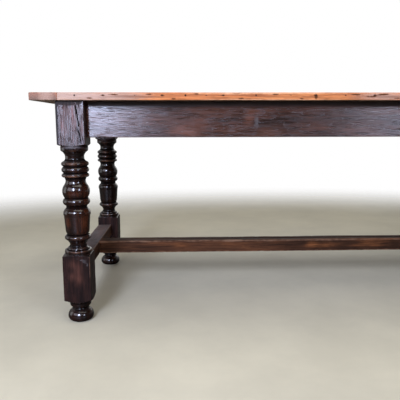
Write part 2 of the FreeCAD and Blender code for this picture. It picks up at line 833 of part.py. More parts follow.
def make_board(index, last, label, edge, width):
    """Make one top board with grooved edges, tongued ends and holes for pegs and screws."""
    body = new_body(label)
    box = (-board_half_length, board_half_length, NOTHING, width)
    add_block(body, "plank", box, NOTHING, size.top_thickness)
    reach = board_half_length + size.board_tongue_length
    tongue_start = size.board_tongue_inset if index == 0 else NOTHING
    tongue_end = width - size.board_tongue_inset if index == last else width
    tongue_box = (-reach, reach, tongue_start, tongue_end)
    add_block(body, "end_tongues", tongue_box, tongue_level, size.tongue_thickness)

    depth = loose_tongue_half + size.mortise_end_gap
    grooves = []
    if index > 0:
        grooves.append((-board_half_length, board_half_length, NOTHING, depth))
    if index < last:
        grooves.append((-board_half_length, board_half_length, width - depth, width))
    groove_height = size.tongue_thickness + 2 * size.joint_clearance
    cut_boxes(body, "edge_grooves", grooves, tongue_level - size.joint_clearance, groove_height)

    pegs = [((board_half_length + cleat_peg_inset) * sign, width / 2) for sign in (-1, 1)]
    drill(body, "peg_holes", "XY_Plane", size.top_thickness, pegs, cleat_peg_hole_radius, size.top_thickness)
    screws = [(x, y - edge) for x, y in board_screws(index, last)]
    bite = size.screw_bite + size.mortise_end_gap
    drill(body, "screw_holes", "XY_Plane", NOTHING, screws, screw_hole_radius, bite, True)
    place(body, NOTHING, edge, underside)
    finish(body, label)


def make_boards():
    """Lay the boards side by side with a loose tongue in each seam."""
    rows = board_rows()
    last = len(rows) - 1
    for index, (label, edge, width) in enumerate(rows):
        make_board(index, last, label, edge, width)
    for number, (label, edge, width) in enumerate(rows[1:], start=1):
        tongue = doc.addObject("Part::Box", f"loose_tongue_{number}")
        bind(
            tongue,
            {
                "Length": 2 * board_half_length,
                "Width": size.loose_tongue_width,
                "Height": size.tongue_thickness,
            },
        )
        place(tongue, -board_half_length, edge - loose_tongue_half, underside + tongue_level)
        finish(tongue, f"loose_tongue_{number}")


def make_cleats():
    """Make the cleats that cap the ends of the boards, with a stopped groove."""
    groove_half = top_half_width - size.board_tongue_inset + size.joint_clearance
    groove_depth = size.board_tongue_length + size.mortise_end_gap
    groove_height = size.tongue_thickness + 2 * size.joint_clearance
    for end, along in ENDS.items():
        body = new_body(f"{end}_cleat")
        box = (NOTHING, size.cleat_width * -along, -top_half_width, top_half_width)
        add_block(body, "cleat", box, NOTHING, size.top_thickness)
        groove = (NOTHING, groove_depth * -along, -groove_half, groove_half)
        cut_boxes(body, "groove", [groove], tongue_level - size.joint_clearance, groove_height)
        pegs = [(cleat_peg_inset * -along, edge + width / 2) for label, edge, width in board_rows()]
        depth = size.top_thickness
        drill(body, "peg_holes", "XY_Plane", depth, pegs, cleat_peg_hole_radius, depth)
        place(body, board_half_length * -along, NOTHING, underside)
        finish(body, f"{end}_cleat")


# Pegs, buttons and screws


def make_apron_pegs():
    """Drive two pegs through each apron tenon from the outer faces of the legs."""
    pegs = []
    for side, inward in SIDES.items():
        for end, along in ENDS.items():
            for level in apron_peg_levels:
                peg = make_cylinder(f"{side}_{end}_long_peg", peg_radius, apron_peg_length)
                x = (apron_peg_inset - half_length) * along
                turn = Rotation(UP, Vector(0, inward, 0))
                place(peg, x, -outer_width * inward, foot_height + level, turn)
                pegs.append(peg)
                peg = make_cylinder(f"{side}_{end}_end_peg", peg_radius, apron_peg_length)
                y = (apron_peg_inset - half_width) * inward
                turn = Rotation(UP, Vector(along, 0, 0))
                place(peg, -outer_length * along, y, foot_height + level, turn)
                pegs.append(peg)
    finish_group("apron_pegs", pegs)


def make_stretcher_pegs():
    """Peg the end stretchers from the outside and the centre stretcher from above."""
    pegs = []
    for end, along in ENDS.items():
        for side, inward in SIDES.items():
            peg = make_cylinder(f"{side}_{end}_low_peg", peg_radius, stretcher_peg_length)
            y = (stretcher_peg_inset - half_width) * inward
            turn = Rotation(UP, Vector(along, 0, 0))
            place(peg, -outer_length * along, y, foot_height + stretcher_peg_level, turn)
            pegs.append(peg)
        peg = make_cylinder(f"{end}_centre_peg", peg_radius, size.stretcher_height)
        x = (centre_span / 2 + size.centre_tenon_length / 2) * -along
        place(peg, x, NOTHING, size.stretcher_level)
        pegs.append(peg)
    finish_group("stretcher_pegs", pegs)


def make_cleat_pegs():
    """Drive one peg through the cleat and the tongue of each board."""
    pegs = []
    for end, along in ENDS.items():
        for label, edge, width in board_rows():
            peg = make_cylinder(f"{end}_{label}_peg", cleat_peg_radius, size.top_thickness)
            place(peg, (board_half_length + cleat_peg_inset) * -along, edge + width / 2, underside)
            pegs.append(peg)
    finish_group("cleat_pegs", pegs)


def button_seats():
    """List where each button meets its apron, with the turn that points it inwards."""
    seats = []
    for inward in SIDES.values():
        turn = 0 if inward > 0 else HALF_TURN
        seats += [(x, apron_inner_width * -inward, turn) for x in long_button_places]
    for along in ENDS.values():
        seats += [(apron_inner_length * -along, y, -QUARTER_TURN * along) for y in end_button_places]
    return seats


def make_button(number):
    """Make one wooden button: a block with a tongue for the apron and a screw hole."""
    body = new_body(f"button_{number}")
    half = size.button_width / 2
    start = size.button_face_gap
    block = (-half, half, start, start + size.button_length)
    tongue = (-half, half, -size.button_tongue_length, start)
    add_block(body, "block", block, NOTHING, size.button_thickness)
    add_block(body, "tongue", tongue, NOTHING, size.button_tongue_thickness)
    centre = [(NOTHING, size.screw_setback)]
    drill(body, "screw_hole", "XY_Plane", NOTHING, centre, screw_hole_radius, size.button_thickness, True)
    return body


def make_screw(number):
    """Turn one wood screw with a slotted, bevelled head."""
    body = new_body(f"screw_{number}")
    shank_length = screw_length - size.screw_point_length
    head_height = size.screw_rim_height + size.screw_crown_height
    steps = [
        Step(size.screw_crown_height, size.screw_head_radius),
        Step(size.screw_rim_height, size.screw_head_radius),
        Step(NOTHING, size.screw_radius),
        Step(shank_length, size.screw_radius),
        Step(size.screw_point_length, size.screw_point_radius),
    ]
    crown = Stop(size.screw_crown_radius, -head_height)
    axis = [Stop(NOTHING, screw_length), Stop(NOTHING, -head_height)]
    revolve(body, "screw", "Revolution", crown, steps, axis)
    half_slot = size.screw_slot_width / 2
    slot = (-half_slot, half_slot, -size.screw_head_radius, size.screw_head_radius)
    cut_boxes(body, "slot", [slot], -head_height, size.screw_slot_depth)
    return body


def make_fixings():
    """Hold the top to the aprons with screwed buttons."""
    buttons = []
    screws = []
    level = underside - size.button_thickness
    for number, (x, y, turn) in enumerate(button_seats(), start=1):
        button = make_button(number)
        place(button, x, y, level, spin(turn))
        buttons.append(button)
        inward = spin(turn).multVec(Vector(0, 1, 0))
        screw = make_screw(number)
        screw_x = x + size.screw_setback * round(inward.x)
        screw_y = y + size.screw_setback * round(inward.y)
        place(screw, screw_x, screw_y, level, spin(turn))
        screws.append(screw)
    finish_group("top_buttons", buttons)
    finish_group("button_screws", screws)


def make_table():
    """Make every piece of the table."""
    for side, inward in SIDES.items():
        for end, along in ENDS.items():
            make_leg(f"{side}_{end}_leg", along, inward)
            make_foot(f"{side}_{end}_foot", along, inward)
    make_aprons()
    make_cross_rails()
    make_end_stretchers()
    make_centre_stretcher()
    make_boards()
    make_cleats()
    make_apron_pegs()
    make_stretcher_pegs()
    make_cleat_pegs()
    make_fixings()
    doc.recompute()


def check_model():
    """Stop if any object failed, or if a piece is empty or broken."""
    for item in doc.Objects:
        if "Invalid" in item.State or "Error" in item.State:
            raise RuntimeError(f"{item.Label} failed: {item.State}")
    for piece in finished:
        if piece.Shape.isNull() or not piece.Shape.isValid():
            raise RuntimeError(f"{piece.Label} has no valid shape")


def write_pieces():
    """Write each piece to a file of its own name."""
    os.makedirs(PARTS_FOLDER, exist_ok=True)
    for piece in finished:
        piece.Shape.exportStep(os.path.join(PARTS_FOLDER, f"{piece.Label}.step"))
        solids = len(piece.Shape.Solids)
        print(f"{piece.Label}: {solids} solid(s), {piece.Shape.Volume / 1000:.1f} cm3")


make_table()
check_model()
write_pieces()
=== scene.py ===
"""Looks of a long refectory table: worn plank top, waxed dark frame and turned legs on bun feet.

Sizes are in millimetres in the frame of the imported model, and meshes are in metres.
"""

import itertools
import logging
import math
from dataclasses import dataclass, field, replace
from enum import Enum

import bmesh
import bpy
import numpy as np
from mathutils import Matrix, Vector


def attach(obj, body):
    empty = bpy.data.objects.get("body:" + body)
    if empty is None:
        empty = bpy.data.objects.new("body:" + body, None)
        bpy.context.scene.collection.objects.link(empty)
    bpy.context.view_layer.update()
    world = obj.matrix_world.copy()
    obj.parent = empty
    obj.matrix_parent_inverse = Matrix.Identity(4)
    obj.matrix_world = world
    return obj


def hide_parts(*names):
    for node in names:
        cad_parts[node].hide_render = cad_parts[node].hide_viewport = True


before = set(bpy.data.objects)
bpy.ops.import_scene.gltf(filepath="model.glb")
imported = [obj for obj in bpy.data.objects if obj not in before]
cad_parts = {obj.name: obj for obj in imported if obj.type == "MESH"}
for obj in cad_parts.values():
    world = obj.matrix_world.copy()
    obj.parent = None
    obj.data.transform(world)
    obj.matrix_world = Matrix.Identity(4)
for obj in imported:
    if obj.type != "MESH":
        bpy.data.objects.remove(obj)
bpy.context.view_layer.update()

LOG = logging.getLogger("refectory_table")
MM = 0.001
ROOT = "root"
SHARP_ANGLE = math.radians(38)

Colour = tuple[float, float, float]
Triple = tuple[float, float, float]
Span = tuple[float, float]
Array = np.ndarray
Material = bpy.types.Material
Mesh = bpy.types.Mesh
Node = bpy.types.Node
Socket = bpy.types.NodeSocket
Tree = bpy.types.NodeTree


class Axis(Enum):
    """A direction of the frame, named by what runs along it."""

    X = 0
    Y = 1
    Z = 2

    @property
    def across(self) -> tuple[int, int]:
        """The two other axes, in turning order."""
        return (self.value + 1) % 3, (self.value + 2) % 3


class Bend(Enum):
    """How a turned member runs between its two ends."""

    STRAIGHT = 0
    ROUND = 1
    HOLLOW = -1


class Side(Enum):
    """The sides of a swept bar, in the order of its ring."""

    HIGH_SECOND = 0
    LOW_FIRST = 1
    LOW_SECOND = 2
    HIGH_FIRST = 3


# Shape tools


class Grit:
    """Smooth repeatable noise that gives hand-made surfaces their unevenness."""

    def __init__(self, seed: int) -> None:
        """Keep the seed of the noise."""
        self.seed = np.uint64(seed)

    def knots(self, cells: Array) -> Array:
        """Give each knot of the lattice its own value.

        Args:
            cells: Whole-numbered places of the knots, one row each.

        Returns:
            One value from -1 to 1 for each knot.
        """
        primes = np.array([73856093, 19349663, 83492791], dtype=np.uint64)
        mixed = (cells.astype(np.int64).astype(np.uint64) * primes).sum(axis=-1, dtype=np.uint64)
        mixed = mixed ^ (self.seed * np.uint64(2654435761))
        for shift, factor in ((15, 2246822519), (13, 3266489917), (16, 668265263)):
            mixed = (mixed ^ (mixed >> np.uint64(shift))) * np.uint64(factor)
            mixed = mixed & np.uint64(0xFFFFFFFF)
        return mixed.astype(np.float64) / 0x7FFFFFFF - 1.0

    def at(self, points: Array, spacing: float) -> Array:
        """Read the noise.

        Args:
            points: Places in millimetres, one row each.
            spacing: Distance between the knots of the noise in millimetres.

        Returns:
            One value from -1 to 1 for each place.
        """
        scaled = np.asarray(points, dtype=np.float64) / spacing
        cells = np.floor(scaled)
        part = scaled - cells
        smooth = part * part * (3 - 2 * part)
        total = np.zeros(scaled.shape[:-1])
        for corner in itertools.product((0, 1), repeat=3):
            chosen = np.array(corner)
            weight = np.where(chosen == 1, smooth, 1 - smooth).prod(axis=-1)
            total += weight * self.knots(cells + chosen)
        return total

    def over(self, base: Array | float, points: Array, layers: tuple[Span, ...]) -> Array:
        """Lay noise of several sizes over a value.

        Args:
            base: What the noise is added to.
            points: Places in millimetres, one row each.
            layers: Height of the noise and distance between its knots, for each layer.

        Returns:
            The sum at each place.
        """
        for height, spacing in layers:
            base = base + height * self.at(points, spacing)
        return base

    def dents(self, points: Array, spacing: float, level: float) -> Array:
        """Read only what rises above a level of the noise."""
        return np.clip(self.at(points, spacing) - level, 0.0, None)


class Tint(Enum):
    """What a mark does to the finish where it lies."""

    # Above zero it marks wear; below zero it darkens the wood, for dirt and for painted shade.
    WEAR = "wear"
    BARE = "bare"
    # Warmer colour in the wood, and in a few places painted warm light and reflection.
    GLOW = "glow"
    # Scuffs, and painted sheen on the front edge of the top and on its left cleat.
    SCUFF_AND_SHEEN = "scuff_and_sheen"
    STAIN = "stain"


@dataclass(frozen=True)
class Mark:
    """A soft patch on a piece where its finish differs; some marks paint light or shade."""

    tint: Tint
    place: Triple
    reach: Triple
    strength: float = 1.0

    def on(self, points: Array) -> Array:
        """Say how strong the mark is at each point."""
        away = (points - np.array(self.place)) / np.array(self.reach)
        return self.strength * np.exp(-(away**2).sum(axis=-1))

    def turned(self, way: int) -> "Mark":
        """Turn the mark half round the axis it is placed from when the way is minus one."""
        x, y, z = self.place
        return Mark(self.tint, (way * x, way * y, z), self.reach, self.strength)


def face_marks(tint: Tint, face: float, depth: float, *rows: tuple[float, ...]) -> tuple[Mark, ...]:
    """List marks of one kind on a face that looks along Y.

    Args:
        tint: What the marks do.
        face: Where the face lies along Y.
        depth: How deep the marks reach into the piece.
        *rows: Place along X, level, reach along X, reach in height and strength of each mark.

    Returns:
        The marks.
    """
    return tuple(
        Mark(tint, (x, face, level), (width, depth, height), strength)
        for x, level, width, height, strength in rows
    )


@dataclass
class Draft:
    """Points, faces and painted values of one piece before it becomes a mesh."""

    points: Array
    faces: list[tuple[int, ...]]
    wear: Array | None = None
    bare: Array | None = None
    marks: tuple[Mark, ...] = ()
    kinds: Array | None = None

    def paint(self) -> dict[Tint, Array]:
        """Gather wear, bareness and marks.

        Returns:
            One row of values for each tint.
        """
        layers = {tint: np.zeros(len(self.points)) for tint in Tint}
        if self.wear is not None:
            layers[Tint.WEAR] += self.wear
        if self.bare is not None:
            layers[Tint.BARE] += self.bare
        for mark in self.marks:
            layers[mark.tint] += mark.on(self.points)
        return layers

    def mesh(self, name: str) -> Mesh:
        """Make the mesh in metres, with its faces outwards.

        Args:
            name: Name of the mesh.

        Returns:
            The mesh with its painted values as point attributes.
        """
        mesh = bpy.data.meshes.new(name)
        mesh.from_pydata((self.points * MM).tolist(), [], self.faces)
        for tint, values in self.paint().items():
            layer = mesh.attributes.new(tint.value, "FLOAT", "POINT")
            layer.data.foreach_set("value", values.astype(np.float32))
        if self.kinds is not None:
            mesh.polygons.foreach_set("material_index", self.kinds.astype(np.int32))
        shell = bmesh.new()
        shell.from_mesh(mesh)
        bmesh.ops.recalc_face_normals(shell, faces=shell.faces)
        shell.to_mesh(mesh)
        shell.free()
        return mesh


def smooth_mesh(mesh: Mesh) -> None:
    """Shade a mesh smooth and keep its sharp edges."""
    mesh.shade_smooth()
    mesh.set_sharp_from_angle(angle=SHARP_ANGLE)


def sweep(rings: Array) -> tuple[Array, list[tuple[int, ...]]]:
    """Skin a row of rings and close both ends.

    Args:
        rings: Points by ring and by place in the ring.

    Returns:
        The points in one list, and the faces between them.
    """
    count, around = rings.shape[:2]
    faces = []
    for ring, place in itertools.product(range(count - 1), range(around)):
        near, far = ring * around, (ring + 1) * around
        following = (place + 1) % around
        faces.append((near + place, near + following, far + following, far + place))
    faces.append(tuple(reversed(range(around))))
    faces.append(tuple(range((count - 1) * around, count * around)))
    return rings.reshape(-1, 3), faces


def rungs(first: int, around: int, pivot: int, skip: int) -> list[tuple[int, ...]]:
    """Close a ring by rungs from one side to the other.

    Args:
        first: Number of the ring's first point.
        around: Number of points in the ring, which is even.
        pivot: Place in the ring of the middle of one side.
        skip: Places from the pivot to the first rung.

    Returns:
        The faces between the rungs.
    """
    half = around // 2

    def point(step: int) -> int:
        """Number the point that lies some steps from the pivot."""
        return first + (pivot + step) % around

    ends = [tuple(point(middle + step) for step in range(-skip, skip + 1)) for middle in (0, half)]
    between = [
        (point(-step), point(step), point(step + 1), point(-step - 1))
        for step in range(skip, half - skip)
    ]
    return ends + between


def applied(owner: bpy.types.Object) -> Mesh:
    """Copy the mesh of an object with its modifiers applied."""
    shown = owner.evaluated_get(bpy.context.evaluated_depsgraph_get())
    return bpy.data.meshes.new_from_object(shown)


def show(name: str, data: bpy.types.ID) -> bpy.types.Object:
    """Make an object of a mesh, a lamp or a camera, and link it to the scene.

    Args:
        name: Name of the object.
        data: What it shows.

    Returns:
        The object.
    """
    shown = bpy.data.objects.new(name, data)
    bpy.context.scene.collection.objects.link(shown)
    return shown


def carve(mesh: Mesh, cutters: list[Mesh]) -> Mesh:
    """Cut closed shapes out of a mesh.

    Args:
        mesh: What is cut.
        cutters: The shapes that are taken away.

    Returns:
        The cut mesh.
    """
    body = show("body", mesh)
    tools = [show("cutter", cutter) for cutter in cutters]
    for tool in tools:
        cut = body.modifiers.new("cut", "BOOLEAN")
        cut.operation = "DIFFERENCE"
        cut.solver = "EXACT"
        cut.object = tool
    carved = applied(body)
    for used in (body, *tools):
        bpy.data.objects.remove(used)
    return carved


def place_piece(name: str, mesh: Mesh, nodes: tuple[str, ...]) -> None:
    """Put a finished mesh into the scene as a piece of the table.

    Args:
        name: Name of the piece.
        mesh: Its mesh, with its place in its points.
        nodes: The CAD nodes that it stands for.
    """
    piece = show(name, mesh)
    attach(piece, ROOT)
    if nodes:
        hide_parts(*nodes)
    LOG.info("%s: %d faces, stands for %s", name, len(mesh.polygons), ", ".join(nodes) or "nothing")


# Shader tools


def pick(sockets: bpy.types.bpy_prop_collection, identifier: str) -> Socket:
    """Find a socket by its identifier, where several share one name."""
    return next(socket for socket in sockets if socket.identifier == identifier)


class Nodes:
    """Short hand for adding and joining the nodes of one tree."""

    def __init__(self, tree: Tree) -> None:
        """Keep the tree that the nodes go into."""
        self.tree = tree

    def add(self, kind: str, **settings: object) -> Node:
        """Add one node.

        Args:
            kind: Blender's name for the node type.
            **settings: Properties of the node to set.

        Returns:
            The new node.
        """
        node = self.tree.nodes.new(kind)
        for name, value in settings.items():
            setattr(node, name, value)
        return node

    def feed(self, socket: Socket, value: object) -> None:
        """Link another socket to an input, or set the input to a plain value.

        Args:
            socket: The input.
            value: A socket or a plain value.
        """
        if isinstance(value, Socket):
            self.tree.links.new(value, socket)
        else:
            socket.default_value = value

    def fill(self, node: Node, **values: object) -> None:
        """Feed a node's inputs by name, with underscores for spaces."""
        for name, value in values.items():
            self.feed(node.inputs[name.replace("_", " ")], value)

    def noise(
        self,
        vector: Socket,
        scale: object,
        detail: float = 3.0,
        rough: float = 0.5,
        twist: float = 0.0,
    ) -> Socket:
        """Add a noise texture.

        Args:
            vector: Where the noise is read.
            scale: Size of the noise, in knots per metre.
            detail: Number of finer layers.
            rough: How strong the finer layers are.
            twist: How far the noise is distorted.

        Returns:
            The noise, about 0 to 1.
        """
        node = self.add("ShaderNodeTexNoise")
        self.fill(
            node, Vector=vector, Scale=scale, Detail=detail, Roughness=rough, Distortion=twist
        )
        return node.outputs["Fac"]

    def remap(
        self, value: Socket, low: object, high: object, to_low: object = 0.0, to_high: object = 1.0
    ) -> Socket:
        """Spread a value smoothly from one range to another, and hold it there.

        Args:
            value: What is spread.
            low: Start of the first range.
            high: End of the first range.
            to_low: Start of the second range.
            to_high: End of the second range.

        Returns:
            The spread value.
        """
        node = self.add("ShaderNodeMapRange", interpolation_type="SMOOTHSTEP")
        self.fill(node, Value=value, From_Min=low, From_Max=high, To_Min=to_low, To_Max=to_high)
        return node.outputs["Result"]

    def sum(self, operation: str, *values: object) -> Socket:
        """Join values one after the other by one kind of sum.

        Args:
            operation: Blender's name for the sum.
            *values: Values or sockets.

        Returns:
            The result.
        """
        total = values[0]
        for value in values[1:]:
            node = self.add("ShaderNodeMath", operation=operation)
            self.feed(node.inputs[0], total)
            self.feed(node.inputs[1], value)
            total = node.outputs[0]
        return total

    def mix(self, factor: object, first: object, second: object, blend: str = "MIX") -> Socket:
        """Mix two colours.

        Args:
            factor: Share of the second colour.
            first: First colour or socket.
            second: Second colour or socket.
            blend: Blender's name for the way of mixing.

        Returns:
            The mixed colour.
        """
        node = self.add("ShaderNodeMix", data_type="RGBA", blend_type=blend)
        self.feed(pick(node.inputs, "Factor_Float"), factor)
        for name, value in (("A_Color", first), ("B_Color", second)):
            self.feed(pick(node.inputs, name), (*value, 1.0) if isinstance(value, tuple) else value)
        return pick(node.outputs, "Result_Color")

    def stretch(
        self, vector: Socket, scale: Triple, turn: Triple = (0, 0, 0), shift: Triple = (0, 0, 0)
    ) -> Socket:
        """Turn, scale and shift coordinates.

        Args:
            vector: Coordinates that come in.
            scale: Scale along each axis.
            turn: Turn about each axis in radians.
            shift: Shift along each axis.

        Returns:
            The changed coordinates.
        """
        node = self.add("ShaderNodeMapping")
        self.fill(node, Vector=vector, Scale=scale, Rotation=turn, Location=shift)
        return node.outputs["Vector"]

    def group(self, tree: Tree, **values: object) -> Node:
        """Place a shader group with its own values.

        Args:
            tree: The group.
            **values: Inputs by name, with underscores for spaces.

        Returns:
            The group's node.
        """
        node = self.add("ShaderNodeGroup", node_tree=tree)
        self.fill(node, **values)
        return node


def start_material(name: str) -> tuple[Material, Nodes, Node]:
    """Start a material with a node tree.

    Args:
        name: Name of the material.

    Returns:
        The material, short hand for its tree, and its shader.
    """
    material = bpy.data.materials.new(name)
    material.use_nodes = True
    return material, Nodes(material.node_tree), material.node_tree.nodes["Principled BSDF"]


# How far each layer of the grain is drawn out along the wood, as its scale there
FIGURE_RUN, STREAK_RUN, RING_RUN, FIBRE_RUN, PORE_RUN = 0.12, 0.045, 0.05, 0.03, 0.05
RING_SCALE, FIBRE_SCALE, PORE_SCALE = 42.0, 330.0, 560.0
RING_CENTRE = (0.03, 0.11, 0.0)
OPEN_PORES = (0.58, 0.7)
LYING_FACES = (0.55, 0.95)
MIDDLE = 0.5
MIDDLE_BAND = (0.3, 0.7)
THINNEST_DUST = 0.35


class ShaderGroups:
    """The effects that several finishes share, each built once."""

    def __init__(self) -> None:
        """Build all groups."""
        self.grain = self.make_grain()
        self.rubbed = self.make_rubbed()
        self.dust = self.make_dust()

    @staticmethod
    def start(
        name: str, inputs: dict[str, object], outputs: tuple[str, ...]
    ) -> tuple[Nodes, Node, Node]:
        """Start a group with named sockets.

        Args:
            name: Name of the group.
            inputs: Input names with their plain values, or None for a vector.
            outputs: Names of the values that come out.

        Returns:
            The node short hand, the input node and the output node.
        """
        tree = bpy.data.node_groups.new(name, "ShaderNodeTree")
        for label, value in inputs.items():
            kind = "NodeSocketVector" if value is None else "NodeSocketFloat"
            socket = tree.interface.new_socket(label, in_out="INPUT", socket_type=kind)
            if value is not None:
                socket.default_value = value
        for label in outputs:
            tree.interface.new_socket(label, in_out="OUTPUT", socket_type="NodeSocketFloat")
        nodes = Nodes(tree)
        return nodes, nodes.add("NodeGroupInput"), nodes.add("NodeGroupOutput")

    def make_grain(self) -> Tree:
        """Build the grain of oak along Z: broad figure, streaks, fine fibre and open pores.

        Returns:
            The group.
        """
        inputs = {"Vector": None, "Figure Scale": 14.0, "Streak Scale": 75.0, "Ring Share": 0.0}
        nodes, given, put = self.start("oak_grain", inputs, ("Figure", "Streak", "Fibre", "Pores"))
        vector = given.outputs["Vector"]
        figure = nodes.noise(
            nodes.stretch(vector, (1, 1, FIGURE_RUN)), given.outputs["Figure Scale"], twist=0.6
        )
        streak = nodes.noise(
            nodes.stretch(vector, (1, 1, STREAK_RUN)),
            given.outputs["Streak Scale"],
            rough=0.6,
            twist=0.3,
        )
        rings = nodes.add("ShaderNodeTexWave", wave_type="RINGS", rings_direction="Z")
        nodes.fill(
            rings,
            Vector=nodes.stretch(vector, (1, 1, RING_RUN), shift=RING_CENTRE),
            Scale=RING_SCALE,
            Distortion=4.0,
            Detail=3.0,
            Detail_Scale=0.8,
        )
        lift = nodes.sum("SUBTRACT", rings.outputs["Fac"], MIDDLE)
        lift = nodes.sum("MULTIPLY", lift, given.outputs["Ring Share"])
        fibre = nodes.noise(nodes.stretch(vector, (1, 1, FIBRE_RUN)), FIBRE_SCALE, rough=0.65)
        pores = nodes.noise(nodes.stretch(vector, (1, 1, PORE_RUN)), PORE_SCALE, detail=1.0)
        nodes.fill(
            put,
            Figure=figure,
            Streak=nodes.sum("ADD", streak, lift),
            Fibre=fibre,
            Pores=nodes.remap(pores, *OPEN_PORES),
        )
        return nodes.tree

    def make_rubbed(self) -> Tree:
        """Build a broken-up mask where hands and feet have rubbed the polish off.

        Returns:
            The group.
        """
        inputs = {"Vector": None, "Wear": 0.0, "Low": 0.4, "High": 0.9, "Patch Scale": 40.0}
        inputs["Break"] = 0.6
        nodes, group, put = self.start("rubbed_off", inputs, ("Mask",))
        given = group.outputs
        patches = nodes.noise(given["Vector"], given["Patch Scale"], detail=5.0, rough=0.65)
        swing = nodes.sum("MULTIPLY", nodes.sum("SUBTRACT", patches, MIDDLE), given["Break"])
        pressed = nodes.sum("ADD", given["Wear"], swing)
        nodes.fill(put, Mask=nodes.remap(pressed, given["Low"], given["High"]))
        return nodes.tree

    def make_dust(self) -> Tree:
        """Build a mask of dust and grey bloom on faces that look up.

        Returns:
            The group.
        """
        inputs = {"Vector": None, "Up": 0.0, "Amount": 0.5, "Cloud Scale": 14.0}
        nodes, group, put = self.start("settled_dust", inputs, ("Mask",))
        given = group.outputs
        clouds = nodes.noise(given["Vector"], given["Cloud Scale"], detail=6.0, rough=0.7)
        lying = nodes.remap(given["Up"], *LYING_FACES)
        patchy = nodes.remap(clouds, *MIDDLE_BAND, THINNEST_DUST, 1.0)
        nodes.fill(put, Mask=nodes.sum("MULTIPLY", lying, patchy, given["Amount"]))
        return nodes.tree


# Finishes

GRAIN_TURNS = {
    Axis.X: (0.0, math.pi / 2, 0.0),
    Axis.Y: (math.pi / 2, 0.0, 0.0),
    Axis.Z: (0.0, 0.0, 0.0),
}


# Limits and shares that all oak finishes have in common
GRIME_AND_SHADE_LIMITS, GRIME_AND_SHADE_DEPTH = (-0.1, -0.9), 0.8
STAIN_LIMITS, STAIN_PATCHES = (0.35, 0.8), 160.0
SCUFF_AND_SHEEN_LIMITS = (0.4, 1.1)
WEAR_PATCHES, PATCH_BREAK = 45.0, 0.9
STAIN_BAND, FIGURE_SHARE, STREAK_SHARE = (0.36, 0.62), 0.55, 0.45
GLOW_SHARE, GLOW_RUN, GLOW_PATCHES = 0.45, 0.25, 18.0
THIN_SLOPE, THIN_START = 0.9, 0.12
DRY_SHADE, DIRT_AND_SHADE_DARKNESS = 0.6, 0.3
DUST_DULLING, SCUFF_AND_SHEEN_DULLING, DRY_ROUGHNESS, SMOOTHEST = 0.3, 0.15, 0.72, 0.12
COAT_LEFT = 0.05
FIBRE_HEIGHT = 0.6


@dataclass
class Layers:
    """The sockets that the parts of one oak material share while it is built."""

    nodes: Nodes
    groups: ShaderGroups
    place: Socket
    along: Socket
    grain: bpy.types.NodeOutputs
    dust: Socket
    painted: dict[Tint, Socket]
    masks: dict[str, Socket] = field(default_factory=dict)

    def broken(self, place: Socket, value: Socket, limits: Span, scale: float) -> Socket:
        """Break up a value with the rubbed-off group.

        Args:
            place: Coordinates of the break-up.
            value: What is broken up.
            limits: Where the mask starts and where it is full.
            scale: Fineness of the break-up.

        Returns:
            The broken mask.
        """
        low, high = limits
        span = {"Low": low, "High": high, "Patch_Scale": scale, "Break": PATCH_BREAK}
        rubbed = self.nodes.group(self.groups.rubbed, Vector=place, Wear=value, **span)
        return rubbed.outputs["Mask"]


